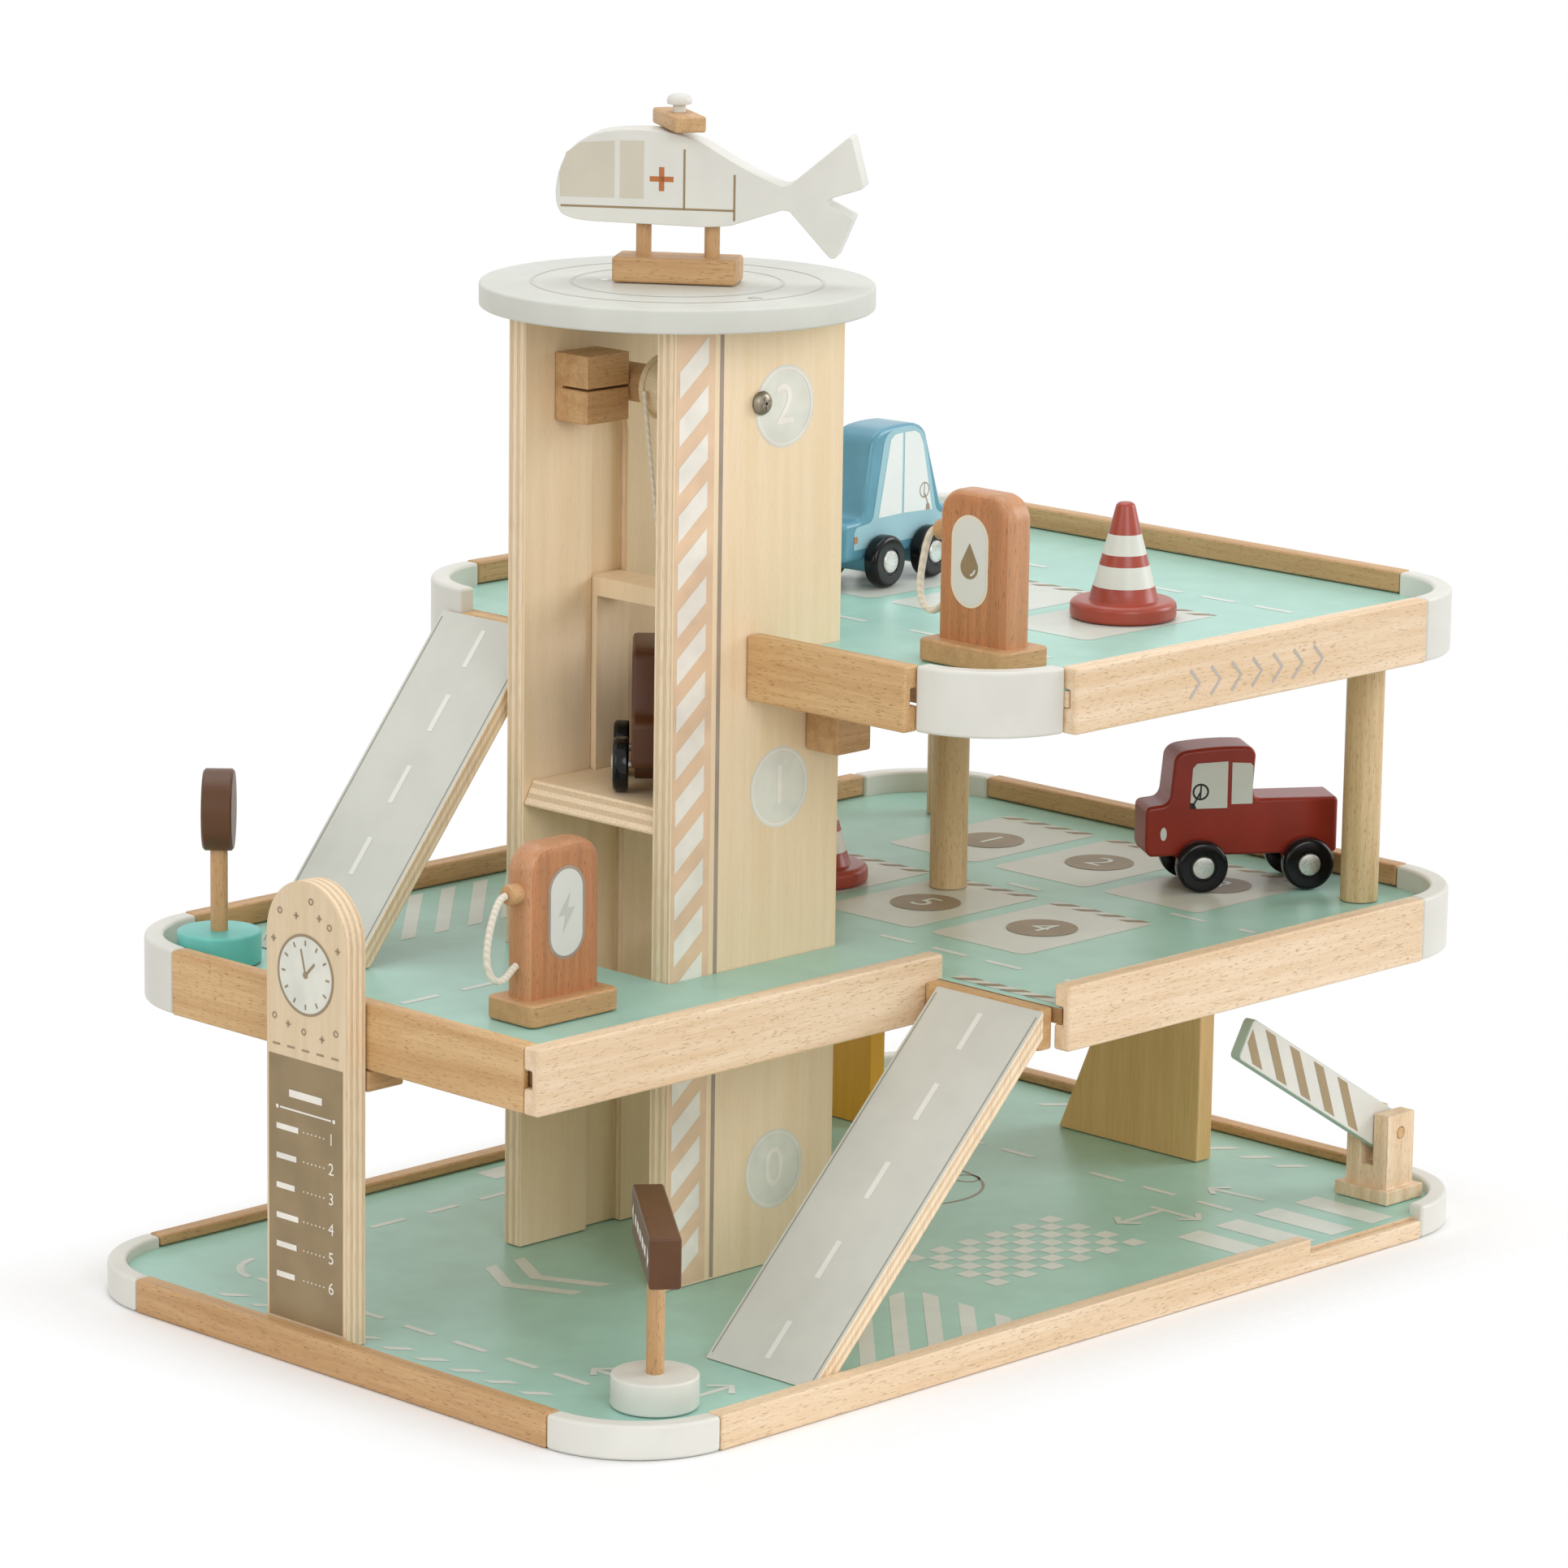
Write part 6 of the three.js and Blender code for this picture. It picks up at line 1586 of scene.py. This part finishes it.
def ground_prints():
    g = deck_sheet(GROUND_TOP)
    kerb(g, 20, 27, 75, 240)
    kerb(g, 450, 460, 85, 220)
    lanes(g, [(44.5, 68, 86), (44.5, 95, 111), (44.5, 122, 139), (44.5, 150, 166), (44.5, 178, 194),
              (44.5, 205, 221), (44.5, 232, 248)])
    g.path("marking", arc(62, 250, 19, 175, 95, 8), 3.0)
    for x0, x1 in ((95, 112), (122, 140), (152, 168), (180, 196)):
        g.rect("marking", x0, 268.5, x1, 271.5)
    for y0, y1 in ((287, 299), (258, 266)):
        g.rect("marking", 205, y0, 240, y1)
    for x in (120, 135):
        for y0, y1 in ((200, 178), (178, 152)):
            xa, xb = (x, x - 12) if y0 == 200 else (x - 12, x)
            g.add("marking", [(xa - 3, y0), (xa + 3, y0), (xb + 3, y1), (xb - 3, y1)])
    arrow(g, 45, 31.7, 81.1, 31.7, 6.3)
    arrow(g, 58.8, 48, 58.8, 80, 5.2)
    hatch(g, (111.3, 129.6, 147.8, 165.9, 184.2, 202.8), 8.4, 217, 13.8, 69.7)
    wide, deep, overlap = 7.85, 7.2, 0.05
    for column in range(11):
        for row in range(7):
            if (column + row) % 2 == 0:
                x0, y0 = 243.4 + column * wide, 50.6 + row * deep
                g.rect("marking", x0, y0, x0 + wide, y0 + deep + overlap)
    for x0 in (343.4, 366.6, 390.2, 414.4):
        g.rect("marking", x0, 8, x0 + 14, 47.7)
    arrow(g, 368.6, 83, 368.6, 57.5, 6.2)
    arrow(g, 367.2, 76.4, 341.6, 75.6, 6.2)
    arrow(g, 408.7, 57.6, 406, 84.1, 6.2)
    lanes(g, [(388, 57, 75), (388, 87, 104), (388, 114, 132), (388, 163, 180), (388, 190, 207)])
    g.ring("grey_line", 321, 171, 31.5, 30.3, steps=96)
    g.ring("grey_line", 345, 160, 5.5, 4.5)
    g.print("ground_print", "mint_paint")


def middle_prints():
    m = deck_sheet(MIDDLE_TOP)
    for x0, x1 in ((52, 70), (82, 98), (110, 126)):
        m.rect("marking", x0, 174.5, x1, 177.5)
    hatch(m, (82.1, 99.7, 117.2, 134.7, 152.2, 169.7, 187.2), 7.7, 222, 248, 299.8)
    numbers = {(314.5, 95.5): "4", (312, 155): "5", (310, 212): "6", (420, 97): "3", (415, 155): "2",
               (412, 212): "1"}
    for x0, x1 in ((277, 352.5), (377.5, 452)):
        for y0, y1 in ((71, 121), (130, 180), (189, 238)):
            bay(m, x0, x1, y0, y1)
    for (x, y), text in numbers.items():
        m.disc("taupe", x, y, 14, 3)
        m.figure("marking", text, x, y, 19, 4, turn=-90)
    m.rect("bay", 230.8, 12, 236.6, 66)
    hazard(m, 230.8, 236.6, 66, 12)
    lanes(m, [(260, 27, 35), (260, 57, 75), (260, 85, 103), (260, 113, 130), (370, 35, 43), (370, 60, 78),
              (361, 138, 155)])
    m.print("middle_print", "mint_paint")


def upper_prints():
    u = deck_sheet(UPPER_TOP)
    for y0, y1 in ((67.4, 115), (123.5, 172), (181, 229)):
        bay(u, 305, 380.5, y0, y1)
    lanes(u, [(407, 52, 71), (407, 81, 98), (407, 108, 125), (407, 135, 152), (407, 180, 197),
              (270, 55, 72), (270, 82, 99), (270, 110, 127), (270, 150, 167), (270, 180, 197)])
    u.print("upper_print", "mint_paint")


def tower_prints():
    """The slanted band, the line beside it and the numbered discs of the tower's front wall."""
    t = wall_sheet(TOWER_FRONT)
    foot, head = 9.5, 374.0
    t.rect("band", 146.0, foot, 166.0, head)
    left, right, slope, tall, pitch = 147.5, 162.5, 12, 10, 17.9
    z = 9.0
    while z < 352:
        t.add("band_bar", [(left, z), (right, z + slope), (right, min(z + slope + tall, head)),
                           (left, z + tall)], 2)
        z += pitch
    t.rect("grey_line", 168.6, foot, 170.6, head)
    for z, text in ((340.9, "2"), (195.5, "1"), (46.0, "0")):
        t.disc("disc", 203, z, 15.6, 1)
        t.ring("band_bar", 203, z, 14.8, 13.9, 2)
        t.figure("band_bar", text, 203, z, 22, 2)
    t.print("tower_print", "birch_ply")


def rail_prints():
    """A row of plain arrowheads along the upper deck's front rail."""
    r = wall_sheet(UPPER_FRONT)
    for i in range(7):
        x = 292.0 + i * 11.9
        r.path("rail_print", [(x, 247.3), (x + 5.4, 241.9), (x, 236.5)], 1.5)
    r.print("upper_rail_print", "beech")


def board_prints():
    """Six plain rows below a title bar, and a clock with small rings and crosses round it."""
    b = Sheet((BOARD_LEFT, 0, 0), (0, -1, 0), (0, 0, 1))
    middle = -(BOARD_FRONT + BOARD_WIDTH / 2)
    clock = 146
    half = BOARD_WIDTH / 2 - 1.5
    b.rect("board_print", middle - half, 13.5, middle + half, 113.5)
    b.rect("band_bar", middle - 9, 98.6, middle + 9, 101.4, 2)
    b.rect("band_bar", middle - 14, 93.5, middle + 14, 94.2, 2)
    for x in (-15.5, 15.5):
        b.disc("band_bar", middle + x, 93.85, 0.8, 2, 16)
    for row, z in enumerate((86.5, 75.3, 64.0, 52.5, 41.5, 30.0)):
        b.rect("band_bar", middle - 16, z - 1.1, middle - 4 - row % 3, z + 1.1, 2)
        for i in range(6):
            b.disc("band_bar", middle - 1 + i * 2.2, z, 0.35, 2, 8)
        b.figure("band_bar", str(row + 1), middle + 14, z, 6.5, 2)
    b.disc("disc", middle, clock, 15, 1)
    b.ring("taupe", middle, clock, 15.3, 14.3, 2)
    for i in range(12):
        a = math.radians(i * 30)
        b.bar("taupe", middle + 11 * math.cos(a), clock + 11 * math.sin(a),
              middle + 13 * math.cos(a), clock + 13 * math.sin(a), 0.8, 2)
    b.bar("taupe", middle, clock, middle + 5, 151, 1.1, 2)
    b.bar("taupe", middle, clock, middle - 2.5, 155.5, 0.9, 2)
    b.disc("taupe", middle, clock, 1.3, 3, 16)
    for x, z in ((-14, 168), (3, 174), (13, 166), (-17, 128), (16.5, 127), (-1, 124.5)):
        b.ring("taupe", middle + x, z, 1.3, 0.8, 2, 20)
    for x, z in ((-5, 167.5), (7.5, 168.5), (-9.5, 126), (9, 123.5), (-17.5, 157), (17.5, 158)):
        b.rect("taupe", middle + x - 1.3, z - 0.3, middle + x + 1.3, z + 0.3, 2)
        b.rect("taupe", middle + x - 0.3, z - 1.3, middle + x + 0.3, z + 1.3, 3)
    for i in range(5):
        b.bar("taupe", middle - 18 + i * 8, 117.5, middle - 14 + i * 8, 117.5, 0.7, 2)
    b.print("board_face", "birch_ply")


# ---- Stage

# The floor's half size and how far it lies below the model's underside, in metres
FLOOR_HALF = 12.0
FLOOR_DROP = 0.0002
FLOOR_GREY = "F7F7F7"
# It fades out between these distances: from the model's sides as the camera sees it, and from its
# middle for every ray
FADE_SEEN = (0.0, 0.045)
FADE_ALL = (0.3, 0.62)
# Each light's place and diameter in metres, and its power in watts
LIGHTS = {"key": ((-1.2, -2.4, 1.35), 1.5, 22.0), "fill": ((-2.6, -0.2, 1.4), 1.8, 13.0),
          "top": ((0.3, 0.5, 2.6), 2.0, 21.0), "right": ((2.3, -1.4, 1.2), 1.5, 28.0)}
LIGHT_COLOUR = (0.97, 0.99, 1.05)
LIGHT_AIM = Vector((0, 0, 0.15))
# The surroundings are white where they are seen, and shed a weaker and warmer light
SEEN_STRENGTH, SHED_STRENGTH = 1.0, 0.64
SEEN_COLOUR, SHED_COLOUR = (1.0, 1.0, 1.0), (1.0, 0.975, 0.925)


class GARAGE_OT_stage(bpy.types.Operator):
    """Lays a pale floor and sets soft light and a white background"""

    bl_idname = "garage.stage"
    bl_label = "Stage"

    def execute(self, context):
        lay_floor(context)
        for name, (place, size, power) in LIGHTS.items():
            data = bpy.data.lights.new(name, "AREA")
            data.shape = "DISK"
            data.size = size
            data.color = LIGHT_COLOUR
            data.energy = power
            lamp = bpy.data.objects.new(name, data)
            lamp.location = place
            lamp.rotation_euler = (LIGHT_AIM - Vector(place)).to_track_quat("-Z", "Y").to_euler()
            context.scene.collection.objects.link(lamp)
        context.scene.world = white_surroundings()
        context.scene.view_settings.view_transform = "Standard"
        return {"FINISHED"}


def lay_floor(context):
    bm = bmesh.new()
    bmesh.ops.create_grid(bm, x_segments=1, y_segments=1, size=FLOOR_HALF)
    bmesh.ops.translate(bm, vec=(0, 0, -FLOOR_DROP), verts=list(bm.verts))
    mesh = bpy.data.meshes.new("floor")
    bm.to_mesh(mesh)
    bm.free()
    mesh.materials.append(floor_look())
    floor = bpy.data.objects.new("floor", mesh)
    context.scene.collection.objects.link(floor)


def floor_look():
    """Pale grey that fades out round the model."""
    material, tree = start_material("stage_floor")
    place = add_node(tree, "ShaderNodeTexCoord").outputs["Object"]
    parts = add_node(tree, "ShaderNodeSeparateXYZ", {"Vector": place})
    gaps = []
    for axis, half in (("X", BASE_LENGTH / 2), ("Y", BASE_WIDTH / 2)):
        out = add_node(tree, "ShaderNodeMath", {0: parts.outputs[axis]}, operation="ABSOLUTE")
        gaps.append(add_node(tree, "ShaderNodeMath", {0: out.outputs["Value"], 1: half * MILLIMETRE},
                             operation="SUBTRACT").outputs["Value"])
    gap = add_node(tree, "ShaderNodeMath", {0: gaps[0], 1: gaps[1]}, operation="MAXIMUM")
    near = add_node(tree, "ShaderNodeMapRange", {"Value": gap.outputs["Value"], "From Min": FADE_SEEN[0],
                                                "From Max": FADE_SEEN[1]})
    seen = add_node(tree, "ShaderNodeLightPath").outputs["Is Camera Ray"]
    near = add_node(tree, "ShaderNodeMath", {0: near.outputs["Result"], 1: seen}, operation="MULTIPLY")
    away = add_node(tree, "ShaderNodeVectorMath", {0: place}, operation="LENGTH")
    away = add_node(tree, "ShaderNodeMapRange", {"Value": away.outputs["Value"], "From Min": FADE_ALL[0],
                                                "From Max": FADE_ALL[1]})
    share = add_node(tree, "ShaderNodeMath", {0: away.outputs["Result"], 1: near.outputs["Value"]},
                     operation="MAXIMUM")
    grey = add_node(tree, "ShaderNodeBsdfPrincipled", {"Base Color": srgb(FLOOR_GREY), "Roughness": 0.9,
                                                      "Specular IOR Level": 0.1})
    clear = add_node(tree, "ShaderNodeBsdfTransparent")
    fade = add_node(tree, "ShaderNodeMixShader", {0: share.outputs["Value"], 1: grey.outputs["BSDF"],
                                                 2: clear.outputs["BSDF"]})
    add_node(tree, "ShaderNodeOutputMaterial", {"Surface": fade.outputs["Shader"]})
    return material


def white_surroundings():
    world = bpy.data.worlds.new("white")
    world.use_nodes = True
    tree = world.node_tree
    tree.nodes.clear()
    rays = add_node(tree, "ShaderNodeLightPath").outputs
    seen = rays["Is Camera Ray"]
    for kind in ("Is Glossy Ray", "Is Transmission Ray"):
        seen = add_node(tree, "ShaderNodeMath", {0: seen, 1: rays[kind]}, operation="MAXIMUM").outputs["Value"]
    strength = add_node(tree, "ShaderNodeMapRange", {"Value": seen, "To Min": SHED_STRENGTH,
                                                    "To Max": SEEN_STRENGTH}).outputs["Result"]
    tint = blended(tree, seen, (0.0, 1.0), (0.0, 1.0), SHED_COLOUR, SEEN_COLOUR)
    back = add_node(tree, "ShaderNodeBackground", {"Color": tint, "Strength": strength})
    add_node(tree, "ShaderNodeOutputWorld", {"Surface": back.outputs["Background"]})
    return world


class GARAGE_PT_panel(bpy.types.Panel):
    """Colours, sizes and build steps of the garage"""

    bl_label = "Toy parking garage"
    bl_idname = "GARAGE_PT_panel"
    bl_space_type = "VIEW_3D"
    bl_region_type = "UI"
    bl_category = "Garage"

    def draw(self, context):
        for group in (context.scene.garage_sizes, context.scene.garage_colours):
            for key in group.__annotations__:
                self.layout.prop(group, key)
        for step in STEPS:
            self.layout.operator(step.bl_idname)


STEPS = (GARAGE_OT_camera, GARAGE_OT_ropes, GARAGE_OT_decks, GARAGE_OT_rails, GARAGE_OT_tower,
         GARAGE_OT_lift, GARAGE_OT_supports, GARAGE_OT_cars, GARAGE_OT_cones, GARAGE_OT_signs,
         GARAGE_OT_pumps, GARAGE_OT_barrier, GARAGE_OT_helicopter, GARAGE_OT_prints, GARAGE_OT_stage)
CLASSES = (GARAGE_PG_colours, GARAGE_PG_sizes) + STEPS + (GARAGE_PT_panel,)


def register():
    for cls in CLASSES:
        bpy.utils.register_class(cls)
    bpy.types.Scene.garage_colours = bpy.props.PointerProperty(type=GARAGE_PG_colours)
    bpy.types.Scene.garage_sizes = bpy.props.PointerProperty(type=GARAGE_PG_sizes)


def unregister():
    del bpy.types.Scene.garage_sizes
    del bpy.types.Scene.garage_colours
    for cls in reversed(CLASSES):
        bpy.utils.unregister_class(cls)


def main():
    register()
    for step in STEPS:
        group, action = step.bl_idname.split(".")
        getattr(getattr(bpy.ops, group), action)()
    bpy.context.view_layer.update()


if __name__ == "__main__":
    main()
